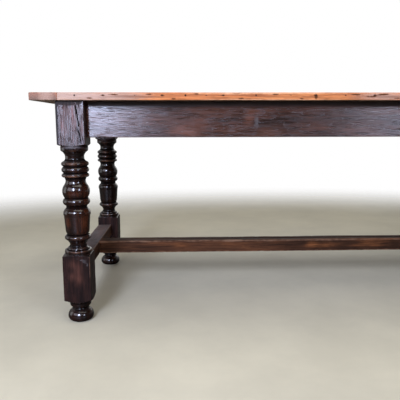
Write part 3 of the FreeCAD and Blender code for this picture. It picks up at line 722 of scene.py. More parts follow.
@dataclass(frozen=True)
class OakFinish:
    """Stained and waxed oak, with its grain along one axis."""

    name: str
    run: Axis
    deep: Colour
    body: Colour
    glow: Colour
    worn: Colour
    raw: Colour
    scuff_and_sheen: Colour = (0.2, 0.19, 0.2)
    dust: Colour = (0.16, 0.15, 0.14)
    shift: Triple = (0.0, 0.0, 0.0)
    figure_scale: float = 14.0
    streak_scale: float = 75.0
    ring_share: float = 0.0
    fibre_depth: float = 0.25
    glow_limits: Span = (0.62, 0.95)
    wear_limits: Span = (0.6, 1.2)
    dust_amount: float = 0.25
    sheen: Span = (0.24, 0.36)
    coat: float = 0.25
    coat_roughness: float = 0.16
    coat_index: float = 1.5
    pore_depth: float = 0.5
    bump: float = 0.2
    specular: float = 0.4
    sheen_swing: float = 0.0
    glow_dull: float = 0.0
    scuff_and_sheen_scale: float = 260.0
    brushed: float = 0.0
    brush_turn: float = 0.25

    def material(self, groups: ShaderGroups) -> Material:
        """Build the material.

        Args:
            groups: The shared shader groups.

        Returns:
            The material with its whole node tree.
        """
        material, nodes, shader = start_material(self.name)
        layers = self.layers(nodes, groups)
        nodes.fill(
            shader,
            Base_Color=self.colour(layers),
            Roughness=self.roughness(layers),
            Normal=self.relief(layers),
            Specular_IOR_Level=self.specular,
            Anisotropic=self.brushed,
            Anisotropic_Rotation=self.brush_turn,
        )
        if self.coat:
            handled = nodes.sum("MAXIMUM", layers.masks["rubbed"], layers.masks["scuffed"])
            bare, dirty = layers.painted[Tint.BARE], layers.masks["dirty"]
            lost = nodes.sum("MAXIMUM", bare, dirty, handled)
            nodes.fill(
                shader,
                Coat_Weight=nodes.remap(lost, 0.0, 1.0, self.coat, COAT_LEFT),
                Coat_Roughness=self.coat_roughness,
                Coat_IOR=self.coat_index,
            )
        return material

    def layers(self, nodes: Nodes, groups: ShaderGroups) -> Layers:
        """Lay out the coordinates, the grain, the dust and the painted values.

        Args:
            nodes: Short hand of the material's tree.
            groups: The shared shader groups.

        Returns:
            The sockets that the parts of the material share.
        """
        place = nodes.add("ShaderNodeTexCoord").outputs["Object"]
        along = nodes.stretch(place, (1, 1, 1), turn=GRAIN_TURNS[self.run], shift=self.shift)
        grain = nodes.group(
            groups.grain,
            Vector=along,
            Figure_Scale=self.figure_scale,
            Streak_Scale=self.streak_scale,
            Ring_Share=self.ring_share,
        )
        facing = nodes.add("ShaderNodeSeparateXYZ")
        nodes.feed(facing.inputs[0], nodes.add("ShaderNodeNewGeometry").outputs["Normal"])
        dust = nodes.group(
            groups.dust, Vector=place, Up=facing.outputs["Z"], Amount=self.dust_amount
        )
        painted = {
            tint: nodes.add("ShaderNodeAttribute", attribute_name=tint.value).outputs["Fac"]
            for tint in Tint
        }
        layers = Layers(nodes, groups, place, along, grain.outputs, dust.outputs["Mask"], painted)
        self.mask(layers)
        return layers

    def mask(self, layers: Layers) -> None:
        """Work out where the wood is dark with dirt and painted shade, where it is rubbed, and
        where scuffs and painted sheen lie.

        Args:
            layers: The shared sockets, which take the masks.
        """
        nodes, painted = layers.nodes, layers.painted
        pores = nodes.sum("MULTIPLY", layers.grain["Pores"], self.pore_depth)
        # Negative wear darkens the wood: real dirt, and painted shade where marks lay shadows.
        grime_and_shade = nodes.remap(painted[Tint.WEAR], *GRIME_AND_SHADE_LIMITS, 0.0, GRIME_AND_SHADE_DEPTH)
        stains = layers.broken(layers.place, painted[Tint.STAIN], STAIN_LIMITS, STAIN_PATCHES)
        rubbed = layers.broken(layers.place, painted[Tint.WEAR], self.wear_limits, WEAR_PATCHES)
        scuffs_and_sheen = layers.broken(layers.along, painted[Tint.SCUFF_AND_SHEEN], SCUFF_AND_SHEEN_LIMITS, self.scuff_and_sheen_scale)
        dirty = nodes.sum("MAXIMUM", pores, grime_and_shade, stains)
        layers.masks.update(dirty=dirty, rubbed=rubbed, scuffed=scuffs_and_sheen)

    def colour(self, layers: Layers) -> Socket:
        """Lay dry wood, wear, scuffs with painted sheen, dirt with painted shade, and dust over the
        stain.

        Args:
            layers: The shared sockets.

        Returns:
            The colour.
        """
        nodes, masks = layers.nodes, layers.masks
        half_dry = tuple(DRY_SHADE * part for part in self.raw)
        dry = nodes.mix(nodes.remap(layers.grain["Streak"], *MIDDLE_BAND), self.raw, half_dry)
        soot_and_shade = tuple(DIRT_AND_SHADE_DARKNESS * part for part in self.deep)
        colour = nodes.mix(layers.painted[Tint.BARE], self.stain(layers), dry)
        colour = nodes.mix(masks["rubbed"], colour, self.worn)
        colour = nodes.mix(masks["scuffed"], colour, self.scuff_and_sheen)
        colour = nodes.mix(masks["dirty"], colour, soot_and_shade)
        return nodes.mix(layers.dust, colour, self.dust)

    def stain(self, layers: Layers) -> Socket:
        """Mix the stain of the wood from its grain, warmer where the polish has thinned and where
        warm light is painted.

        Args:
            layers: The shared sockets.

        Returns:
            The stained colour.
        """
        nodes, grain = layers.nodes, layers.grain
        figure = nodes.sum("MULTIPLY", grain["Figure"], FIGURE_SHARE)
        streak = nodes.sum("MULTIPLY", grain["Streak"], STREAK_SHARE)
        blend = nodes.sum("ADD", figure, streak)
        colour = nodes.mix(nodes.remap(blend, *STAIN_BAND), self.deep, self.body)
        painted = nodes.sum("MULTIPLY", layers.painted[Tint.GLOW], GLOW_SHARE)
        thin_polish_and_light = nodes.sum("ADD", nodes.sum("MULTIPLY", blend, THIN_SLOPE), THIN_START, painted)
        patchy = nodes.stretch(layers.along, (1, 1, GLOW_RUN))
        glowing = layers.broken(patchy, thin_polish_and_light, self.glow_limits, GLOW_PATCHES)
        colour = nodes.mix(glowing, colour, self.glow)
        shades = (1 - self.fibre_depth, 1 + self.fibre_depth)
        fibres = nodes.remap(grain["Fibre"], *MIDDLE_BAND, *shades)
        grey = nodes.add("ShaderNodeCombineColor")
        nodes.fill(grey, Red=fibres, Green=fibres, Blue=fibres)
        return nodes.mix(1.0, colour, grey.outputs["Color"], blend="MULTIPLY")

    def roughness(self, layers: Layers) -> Socket:
        """Work out the sheen, which dust, scuffs and painted sheen, thin polish, dry wood, and dirt
        and painted shade dull.

        Args:
            layers: The shared sockets.

        Returns:
            The roughness.
        """
        nodes, painted, masks = layers.nodes, layers.painted, layers.masks
        rough = nodes.remap(layers.grain["Fibre"], *MIDDLE_BAND, *self.sheen)
        swing = nodes.sum("SUBTRACT", layers.grain["Streak"], MIDDLE)
        rough = nodes.sum("ADD", rough, nodes.sum("MULTIPLY", swing, self.sheen_swing))
        rough = nodes.sum("MAXIMUM", rough, SMOOTHEST)
        dusty = nodes.sum("MULTIPLY", layers.dust, DUST_DULLING)
        scuffed = nodes.sum("MULTIPLY", masks["scuffed"], SCUFF_AND_SHEEN_DULLING)
        thinned = nodes.sum("MULTIPLY", painted[Tint.GLOW], self.glow_dull)
        rough = nodes.sum("ADD", rough, nodes.sum("ADD", dusty, scuffed, thinned))
        dry = nodes.sum("MULTIPLY", painted[Tint.BARE], DRY_ROUGHNESS)
        return nodes.sum("MAXIMUM", rough, dry, nodes.remap(masks["dirty"], 0.0, GRIME_AND_SHADE_DEPTH))

    def relief(self, layers: Layers) -> Socket:
        """Raise the fibres and sink the pores.

        Args:
            layers: The shared sockets.

        Returns:
            The bumped normal.
        """
        nodes, grain = layers.nodes, layers.grain
        bump = nodes.add("ShaderNodeBump")
        height = nodes.sum("SUBTRACT", grain["Fibre"], grain["Pores"])
        nodes.fill(bump, Strength=self.bump, Distance=FIBRE_HEIGHT * MM, Height=height)
        return bump.outputs["Normal"]


@dataclass(frozen=True)
class IronFinish:
    """Old iron, dulled and spotted with rust."""

    name: str
    clean: Colour
    rust: Colour
    metallic: float = 0.8
    metal_in_rust: float = 0.1
    specular: float = 0.5
    roughness: Span = (0.38, 0.8)
    rust_scale: float = 700.0
    rust_limits: Span = (0.42, 0.62)

    def material(self) -> Material:
        """Build the material.

        Returns:
            The material with its node tree.
        """
        material, nodes, shader = start_material(self.name)
        place = nodes.add("ShaderNodeTexCoord").outputs["Object"]
        clouds = nodes.noise(place, self.rust_scale, detail=4.0, rough=0.7)
        spots = nodes.remap(clouds, *self.rust_limits)
        metals = (self.metallic, self.metal_in_rust * self.metallic)
        nodes.fill(
            shader,
            Base_Color=nodes.mix(spots, self.clean, self.rust),
            Roughness=nodes.remap(spots, 0.0, 1.0, *self.roughness),
            Metallic=nodes.remap(spots, 0.0, 1.0, *metals),
            Specular_IOR_Level=self.specular,
        )
        return material


DRY_BROWN = (0.13, 0.08, 0.05)
DRY_GREY = (0.2, 0.138, 0.1)

TURNED_OAK = OakFinish(
    "dark_turned_oak",
    Axis.Z,
    deep=(0.0035, 0.001, 0.0006),
    body=(0.0172, 0.0041, 0.0017),
    glow=(0.064, 0.0155, 0.005),
    worn=(0.12, 0.058, 0.034),
    raw=DRY_BROWN,
    streak_scale=110.0,
    coat=1.0,
    coat_roughness=0.15,
    coat_index=1.6,
    pore_depth=0.3,
    bump=0.12,
    wear_limits=(0.7, 1.6),
    dust_amount=0.05,
    specular=0.06,
)
HIGH_BLOCK_OAK = OakFinish(
    "dry_high_block_oak",
    Axis.Z,
    deep=(0.009, 0.0042, 0.0042),
    body=(0.042, 0.0145, 0.0098),
    glow=(0.135, 0.036, 0.026),
    worn=(0.12, 0.065, 0.042),
    raw=DRY_BROWN,
    figure_scale=22.0,
    streak_scale=190.0,
    wear_limits=(0.75, 1.4),
    dust_amount=0.05,
    glow_limits=(0.5, 1.25),
    sheen=(0.28, 0.42),
    coat=0.0,
    bump=0.55,
    pore_depth=0.9,
    specular=0.85,
    fibre_depth=0.6,
    sheen_swing=1.7,
    glow_dull=0.25,
    brushed=0.85,
)
LOW_BLOCK_OAK = replace(
    HIGH_BLOCK_OAK,
    name="dark_low_block_oak",
    deep=(0.008, 0.0033, 0.0028),
    body=(0.023, 0.0086, 0.0064),
    glow=(0.108, 0.04, 0.027),
    glow_limits=(0.45, 1.5),
    sheen=(0.38, 0.48),
    bump=OakFinish.bump,
    pore_depth=OakFinish.pore_depth,
    specular=0.16,
    fibre_depth=0.2,
    sheen_swing=0.2,
    glow_dull=OakFinish.glow_dull,
    brushed=OakFinish.brushed,
)
LONG_APRON_OAK = OakFinish(
    "dark_long_apron_oak",
    Axis.X,
    deep=(0.02, 0.0082, 0.0065),
    body=(0.068, 0.0245, 0.016),
    glow=(0.14, 0.046, 0.025),
    worn=(0.08, 0.036, 0.023),
    raw=DRY_BROWN,
    scuff_and_sheen=(0.13, 0.12, 0.125),
    sheen=(0.22, 0.36),
    coat=0.0,
    bump=0.5,
    specular=0.95,
    fibre_depth=0.4,
    streak_scale=230.0,
    pore_depth=0.55,
    sheen_swing=0.5,
    brushed=0.95,
    wear_limits=(0.75, 1.5),
    glow_limits=(0.45, 1.3),
    glow_dull=0.08,
    shift=(0.3, 0.1, 0.2),
)
END_APRON_OAK = replace(
    LONG_APRON_OAK, name="dark_end_apron_oak", run=Axis.Y, shift=(0.1, 0.4, 0.7)
)
LONG_STRETCHER_OAK = OakFinish(
    "worn_stretcher_oak",
    Axis.X,
    deep=(0.028, 0.0118, 0.0058),
    body=(0.075, 0.0298, 0.0142),
    glow=(0.21, 0.073, 0.025),
    worn=(0.2, 0.11, 0.065),
    raw=DRY_BROWN,
    dust=(0.07, 0.06, 0.053),
    sheen=(0.5, 0.7),
    coat=0.0,
    specular=0.1,
    dust_amount=0.0,
    glow_limits=(0.5, 1.2),
    fibre_depth=0.35,
    shift=(0.7, 0.2, 0.5),
)
END_STRETCHER_OAK = replace(
    LONG_STRETCHER_OAK,
    name="worn_end_stretcher_oak",
    run=Axis.Y,
    dust=(0.25, 0.225, 0.21),
    dust_amount=0.6,
    shift=(0.2, 0.6, 0.1),
)
BOARD_OAK = OakFinish(
    "worn_top_oak",
    Axis.X,
    deep=(0.34, 0.106, 0.034),
    body=(0.51, 0.165, 0.049),
    glow=(0.69, 0.255, 0.083),
    worn=(0.74, 0.38, 0.2),
    raw=DRY_GREY,
    # This scuff colour also serves as the painted sheen on the front edge of the boards.
    scuff_and_sheen=(0.49, 0.335, 0.262),
    streak_scale=120.0,
    fibre_depth=0.35,
    wear_limits=(0.55, 1.2),
    dust_amount=0.0,
    sheen=(0.44, 0.56),
    coat=0.0,
    specular=0.2,
)
CLEAT_OAK = replace(
    BOARD_OAK,
    name="worn_cleat_oak",
    run=Axis.Y,
    deep=(0.29, 0.095, 0.038),
    body=(0.45, 0.155, 0.062),
    glow=(0.59, 0.225, 0.095),
    worn=(0.235, 0.138, 0.103),
    # This scuff colour also serves as the painted sheen on the front end of the cleat.
    scuff_and_sheen=(0.425, 0.27, 0.202),
    wear_limits=(0.45, 1.4),
    ring_share=0.15,
)
INNER_OAK = OakFinish(
    "dry_inner_oak",
    Axis.Y,
    deep=(0.13, 0.08, 0.048),
    body=(0.22, 0.14, 0.085),
    glow=(0.27, 0.18, 0.11),
    worn=(0.3, 0.21, 0.14),
    raw=(0.2, 0.13, 0.08),
    sheen=(0.6, 0.8),
    coat=0.0,
    dust_amount=0.1,
)
DULL_IRON = IronFinish("dull_iron", (0.32, 0.3, 0.28), (0.1, 0.045, 0.025))
TACK_IRON = IronFinish(
    "black_tack_iron", (0.02, 0.01, 0.007), (0.045, 0.018, 0.01), metallic=0.05, specular=0.06
)


class Finishes:
    """All materials of the table, built once."""

    def __init__(self) -> None:
        """Build the shader groups and the materials."""
        groups = ShaderGroups()
        self.turned = TURNED_OAK.material(groups)
        self.low_block = LOW_BLOCK_OAK.material(groups)
        self.high_block = HIGH_BLOCK_OAK.material(groups)
        self.long_apron = LONG_APRON_OAK.material(groups)
        self.end_apron = END_APRON_OAK.material(groups)
        self.long_stretcher = LONG_STRETCHER_OAK.material(groups)
        self.end_stretcher = END_STRETCHER_OAK.material(groups)
        self.board = BOARD_OAK.material(groups)
        self.cleat = CLEAT_OAK.material(groups)
        self.inner = INNER_OAK.material(groups)
        self.iron = DULL_IRON.material()
        self.tack = TACK_IRON.material()


# Bars, boards and rails

# How far apart the noise is read for dents and for each arris of a bar
DENT_SHIFT, ARRIS_SHIFT = 500.0, 900.0


@dataclass
class WornBar:
    """A planed length of oak whose arrises have worn round."""

    name: str
    run: Axis
    low: Triple
    high: Triple
    node: str
    slot: str
    softs: tuple[float, float, float, float] = (1.6, 1.6, 1.6, 1.6)
    end_soft: float = 1.2
    spacing: float = 14.0
    wave: float = 0.3
    nick: float = 1.2
    bare: tuple[Side, ...] = ()
    marks: tuple[Mark, ...] = ()
    seed: int = 1
    corner_points: int = 5
    face_spacing: float = 22.0
    near_arris: float = 3.0
    end_rungs: bool = False
    wear_reach: float = 7.0
    dry_loss: float = 0.7
    wave_layers: tuple[Span, ...] = ((0.7, 130.0), (0.3, 34.0))
    dent_spacing: float = 11.0
    dent_level: float = 0.45
    soft_layers: tuple[Span, ...] = ((0.45, 60.0), (0.2, 17.0))
    fullest_soft: float = 0.9

    def stations(self) -> tuple[Array, Array]:
        """Lay out the sections along the bar.

        Returns:
            Where each section lies along the run, and how far it is drawn in by the rounded end.
        """
        start, end = self.low[self.run.value], self.high[self.run.value]
        turn = np.linspace(0, math.pi / 2, self.corner_points)
        lead = self.end_soft * (1 - np.cos(turn))
        drawn = self.end_soft * (1 - np.sin(turn))
        count = max(2, round((end - start) / self.spacing))
        middle = np.linspace(start + self.end_soft, end - self.end_soft, count + 1)[1:-1]
        places = np.concatenate([start + lead, middle, (end - lead)[::-1]])
        return places, np.concatenate([drawn, np.zeros(len(middle)), drawn[::-1]])

    def draft(self) -> Draft:
        """Sweep the worn section along the run.

        Returns:
            The points, faces and painted values of the bar.
        """
        grit = Grit(self.seed)
        places, drawn = self.stations()
        across = self.run.across
        half = [(self.high[axis] - self.low[axis]) / 2 - drawn for axis in across]
        flat, normals, wears, bares = self.section(places, half, grit)
        rings = np.zeros((len(places), flat.shape[1], 3))
        outward = np.zeros_like(rings)
        rings[..., self.run.value] = places[:, None]
        for number, axis in enumerate(across):
            rings[..., axis] = flat[..., number] + (self.low[axis] + self.high[axis]) / 2
            outward[..., axis] = normals[:, number]
        end_wear = np.exp(-self.from_end(places) / self.wear_reach)
        wear = np.maximum(wears[None, :], end_wear[:, None])
        rings += outward * self.unevenness(rings, wear, grit)[..., None]
        points, faces = sweep(rings)
        if self.end_rungs:
            count, around = rings.shape[:2]
            reach = len(self.shares(2 * float(half[0].max()))) // 2
            pivot, skip = self.corner_points + reach, reach + 2
            firsts = (0, (count - 1) * around)
            faces[-2:] = [face for first in firsts for face in rungs(first, around, pivot, skip)]
        return Draft(points, faces, wear.reshape(-1), np.tile(bares, len(places)), self.marks)

    def section(
        self, places: Array, half: list[Array], grit: Grit
    ) -> tuple[Array, Array, Array, Array]:
        """Go once round the bar, over its arrises and its faces.

        Args:
            places: Sections along the run.
            half: Half sizes of each section.
            grit: The bar's own noise.

        Returns:
            The columns of points, and the direction, the wear and the bareness of each column.
        """
        columns, normals, wears, bares = [], [], [], []
        corners = [self.corner(number, places, half, grit) for number in range(4)]
        for side in Side:
            arc, arc_normals = corners[side.value]
            following = corners[(side.value + 1) % 4][0]
            dry_before = float(Side((side.value - 1) % 4) in self.bare)
            dry_after = float(side in self.bare)
            reach = len(arc) // 2
            dry_arc = [dry_before] * reach + [0.0] * (len(arc) - 2 * reach) + [dry_after] * reach
            columns += list(arc)
            normals += arc_normals
            wears += [1.0 - self.dry_loss * dry for dry in dry_arc]
            bares += dry_arc
            width = 2 * float(half[side.value % 2].max())
            for share in self.shares(width):
                from_arris = min(share, 1 - share) * width
                columns.append(arc[-1] * (1 - share) + following[0] * share)
                normals.append(arc_normals[-1])
                wears.append(
                    math.exp(-from_arris / self.wear_reach) * (1.0 - self.dry_loss * dry_after)
                )
                bares.append(dry_after)
        return np.stack(columns, axis=1), np.array(normals), np.array(wears), np.array(bares)

    def shares(self, width: float) -> Array:
        """Lay out the columns of one face, with one close to each arris.

        Args:
            width: Width of the face.

        Returns:
            The place of each column as a share of the width.
        """
        count = max(1, round(width / self.face_spacing))
        even = np.arange(1, count + 1) / (count + 1)
        near = self.near_arris / width
        return np.concatenate([[near], even, [1 - near]]) if near < 0.8 * even[0] else even

    def from_end(self, places: Array) -> Array:
        """Measure how far each section lies from the nearer end."""
        return np.minimum(places - self.low[self.run.value], self.high[self.run.value] - places)

    def unevenness(self, rings: Array, wear: Array, grit: Grit) -> Array:
        """Work out how far each point stands off the true bar.

        Args:
            rings: Points of the true bar.
            wear: Wear of each point.
            grit: The bar's own noise.

        Returns:
            Distances outwards, in millimetres.
        """
        dents = grit.dents(rings + DENT_SHIFT, self.dent_spacing, self.dent_level)
        waves = self.wave * grit.over(0.0, rings, self.wave_layers)
        return waves - self.nick * dents * wear

    def corner(
        self, number: int, places: Array, half: list[Array], grit: Grit
    ) -> tuple[Array, list[Span]]:
        """Round one arris, with a radius that changes along the bar.

        Args:
            number: Which arris, in turning order.
            places: Sections along the run.
            half: Half sizes of each section.
            grit: The bar's own noise.

        Returns:
            The points of the arris by place in its arc, and the direction that each faces.
        """
        apart = np.full_like(places, ARRIS_SHIFT * number)
        along = np.stack([places, apart, np.zeros_like(places)], axis=-1)
        soft = self.softs[number] * grit.over(1.0, along, self.soft_layers)
        soft = np.minimum(soft, self.fullest_soft * np.minimum(*half))
        signs = ((1, 1), (-1, 1), (-1, -1), (1, -1))[number]
        centre = np.stack([signs[0] * (half[0] - soft), signs[1] * (half[1] - soft)], axis=-1)
        angles = (number + np.linspace(0, 1, self.corner_points)) * math.pi / 2
        facing = [(math.cos(angle), math.sin(angle)) for angle in angles]
        return np.stack([centre + soft[:, None] * np.array(way) for way in facing]), facing

    def build(self, material: Material) -> None:
        """Make the bar and put it in its place.

        Args:
            material: Its finish.
        """
        mesh = self.draft().mesh(self.name)
        smooth_mesh(mesh)
        mesh.materials.append(material)
        place_piece(self.name, mesh, (self.node,))


@dataclass
class TableSizes:
    """The main sizes that the pieces share, as in the CAD model."""

    leg_x: float = 943.0
    leg_y: float = 340.0
    leg_square: float = 91.0
    foot_height: float = 50.0
    underside: float = 746.0
    top_height: float = 770.0
    top_half_length: float = 1065.0
    top_half_width: float = 400.0
    cleat_width: float = 88.0
    apron_recess: float = 37.0
    apron_thickness: float = 26.0
    apron_height: float = 118.0
    stretcher_level: float = 151.0
    stretcher_height: float = 50.0
    end_stretcher_width: float = 61.0
    centre_stretcher_width: float = 60.0
    centre_tenon_length: float = 42.0

    @property
    def half_leg(self) -> float:
        """Half the square of a leg."""
        return self.leg_square / 2

    @property
    def board_half_length(self) -> float:
        """Half the length of the boards between the cleats."""
        return self.top_half_length - self.cleat_width


TACKS = (-923, -834, -734, -649, -575, -509, -455, -351, -241, -159, -64, 30)
TACKS += (171, 262, 405, 566, 690, 812, 951)
TACK_LEVEL = 760.7
EDGE_LEVEL = 758.0
SEAM_DIRT = -2.2
ENDLESS = 9000.0


@dataclass
class PlankTop:
    """Four boards side by side between two cleats."""

    sizes: TableSizes
    finishes: Finishes
    widths: tuple[float, ...] = (186.0, 214.0, 208.0, 192.0)
    names: tuple[str, ...] = ("front_board", "second_board", "third_board", "back_board")
    worn_edge: float = 4.2
    low_edge: float = 1.6
    seam: float = 0.9
    smears: tuple[Triple, ...] = (
        (-1002, 751, 9), (-876, 752, 12), (-690, 764, 14), (-612, 750, 10),
        (-540, 765, 8), (-398, 751, 12), (-290, 764, 16), (-205, 750, 9),
        (-30, 763, 22), (18, 757, 26), (62, 764, 20), (104, 752, 15),
    )

    def seam_marks(self) -> tuple[Mark, ...]:
        """List the dirt that has settled in the seams between the boards.

        Returns:
            One mark for each seam.
        """
        ends = itertools.accumulate(self.widths[:-1])
        places = [(0.0, end - self.sizes.top_half_width, self.sizes.top_height) for end in ends]
        return tuple(Mark(Tint.WEAR, place, (ENDLESS, 1.8, 8.0), SEAM_DIRT) for place in places)

    def joint_marks(self) -> tuple[Mark, ...]:
        """List the dirt that has settled between the boards and the cleats.

        Returns:
            One mark for each cleat.
        """
        half = self.sizes.board_half_length
        places = [(sign * half, 0.0, self.sizes.top_height) for sign in (-1, 1)]
        return tuple(Mark(Tint.WEAR, place, (1.8, ENDLESS, 6.0), SEAM_DIRT) for place in places)

    def edge_marks(self) -> tuple[Mark, ...]:
        """Mark the front edge with stains, scuffs and changes of colour, and with painted sheen,
        shade and light.

        Returns:
            The marks of the front edge.
        """
        front, level = -self.sizes.top_half_width, EDGE_LEVEL
        smears = [(x, height, length, 3.0, 1.0) for x, height, length in self.smears]
        knots = [(-159.0, 756.0, 6.0, 8.0, 1.2), (-800.0, 763.0, 22.0, 3.0, 0.9)]
        # Scuffs that also paint the pale sheen on the left and right parts of the edge.
        scuffs_and_sheen = [(-940.0, 230.0, 1.05), (-725.0, 110.0, 0.32), (60.0, 150.0, 0.85)]
        # Dirt that also paints shade on the left and right parts of the edge.
        dirt = [(-740.0, 170.0, -0.85), (70.0, 150.0, -0.8)]
        # Painted light: warmer, brighter patches in the middle of the edge.
        warmth_and_light = [(-258.0, 125.0, 0.58), (-130.0, 60.0, 0.45)]
        marks = face_marks(Tint.STAIN, front, 6.0, *self.tack_stains(), *knots, *smears)
        for tint, rows in ((Tint.SCUFF_AND_SHEEN, scuffs_and_sheen), (Tint.WEAR, dirt), (Tint.GLOW, warmth_and_light)):
            high_rows = [(x, level, length, 30.0, strength) for x, length, strength in rows]
            marks += face_marks(tint, front, 8.0, *high_rows)
        return marks

    def tack_stains(self) -> list[tuple[float, ...]]:
        """Stain the wood round each tack, with a streak beside it.

        Returns:
            Rows for the marks of a face.
        """
        rows = []
        for number, x in enumerate(TACKS):
            size = 0.7 + 0.3 * math.sin(2.4 * number)
            rows.append((x, TACK_LEVEL, 4.5 * size, 3.0 * size, 1.0))
            beside = x + 17.0 * math.cos(1.7 * number)
            level = TACK_LEVEL + 2.0 * math.sin(3.1 * number)
            rows.append((beside, level, 15.0, 1.8, 0.65 * size))
        return rows

    def build(self) -> None:
        """Lay the boards and cap them with the cleats."""
        self.build_boards()
        self.build_cleats()

    def build_boards(self) -> None:
        """Lay the boards from the front to the back."""
        sizes = self.sizes
        half = sizes.board_half_length
        edge = -sizes.top_half_width
        last = len(self.names) - 1
        for index, (node, width) in enumerate(zip(self.names, self.widths)):
            softs = [self.seam] * 4
            spacing, face_spacing, marks = 7.0, 22.0, self.seam_marks() + self.joint_marks()
            if index == 0:
                softs[1], softs[2] = self.worn_edge, self.low_edge
                spacing, face_spacing, marks = 3.4, 7.0, marks + self.edge_marks()
            if index == last:
                softs[0], softs[3] = self.worn_edge, self.low_edge
            WornBar(
                f"plank_{node}",
                Axis.X,
                (-half, edge, sizes.underside),
                (half, edge + width, sizes.top_height),
                node,
                "top_oak",
                softs=tuple(softs),
                end_soft=self.seam,
                spacing=spacing,
                face_spacing=face_spacing,
                bare=(Side.LOW_SECOND,),
                marks=marks,
                seed=11 + index,
            ).build(self.finishes.board)
            edge += width

    def build_cleats(self) -> None:
        """Cap the ends of the boards."""
        sizes = self.sizes
        half = sizes.board_half_length
        front, low, seam, worn = -sizes.top_half_width, self.low_edge, self.seam, self.worn_edge
        # Painted sheen, laid as a scuff, on the front end of the left cleat.
        scuffs_and_sheen = face_marks(Tint.SCUFF_AND_SHEEN, front, 8.0, (-1012.0, EDGE_LEVEL, 33.0, 40.0, 1.05))
        left_softs, right_softs = (low, seam, seam, worn), (seam, worn, low, seam)
        for end, sign, softs in (("left", -1, left_softs), ("right", 1, right_softs)):
            across = sorted((sign * half, sign * sizes.top_half_length))
            WornBar(
                f"end_cleat_{end}",
                Axis.Y,
                (across[0], front, sizes.underside),
                (across[1], -front, sizes.top_height),
                f"{end}_cleat",
                "top_oak",
                softs=softs,
                end_soft=2.5,
                spacing=8.0,
                face_spacing=11.0,
                near_arris=2.0,
                end_rungs=True,
                bare=(Side.LOW_FIRST,),
                marks=self.joint_marks() + scuffs_and_sheen,
                seed=31 + sign,
            ).build(self.finishes.cleat)


ENDS = (("left", -1), ("right", 1))
MARK_DEPTH = 20.0
APRON_FACE = -(TableSizes.leg_y + TableSizes.leg_square / 2 - TableSizes.apron_recess)
APRON_MARKS = (
    # The first row is a painted shadow: a dark band along the top of the apron, under the overhang
    # of the top.
    *face_marks(Tint.WEAR, APRON_FACE, MARK_DEPTH, (0, 746, 2000, 18, -1.7)),
    *face_marks(
        Tint.SCUFF_AND_SHEEN, APRON_FACE, MARK_DEPTH,
        (-724, 680, 24, 32, 0.6), (-690, 650, 20, 16, 0.55), (-649, 703, 34, 13, 0.72),
        (-422, 656, 26, 24, 0.65), (-340, 678, 14, 40, 0.8), (40, 690, 80, 30, 0.45),
    ),
    *face_marks(
        Tint.GLOW, APRON_FACE, MARK_DEPTH,
        (-600, 650, 40, 22, 0.9), (-555, 640, 30, 14, 0.9), (-520, 690, 60, 25, 0.55),
        (-365, 690, 16, 22, 1.0), (-300, 642, 50, 16, 0.8), (-180, 655, 70, 20, 0.5),
    ),
)
STRETCHER_FACE = -TableSizes.centre_stretcher_width / 2
STRETCHER_MARKS = (
    # Painted shade: a dark band along the top of the long stretcher.
    Mark(Tint.WEAR, (0.0, 0.0, 201.0), (2000.0, 24.0, 4.0), -0.75),
    *face_marks(
        Tint.GLOW, STRETCHER_FACE, MARK_DEPTH,
        (-600, 180, 40, 14, 0.5), (-395, 180, 40, 16, 0.1), (-318, 182, 30, 16, 0.1),
        (-57, 178, 25, 14, 0.8), (0, 178, 70, 18, 0.6), (200, 178, 90, 20, 1.0),
        (420, 180, 60, 15, 0.9),
    ),
    *face_marks(
        Tint.WEAR, STRETCHER_FACE, 10.0,
        (-465, 172, 26, 4, 0.9), (-332, 179, 10, 4, 0.7), (-385, 199, 30, 5, 0.6),
    ),
)


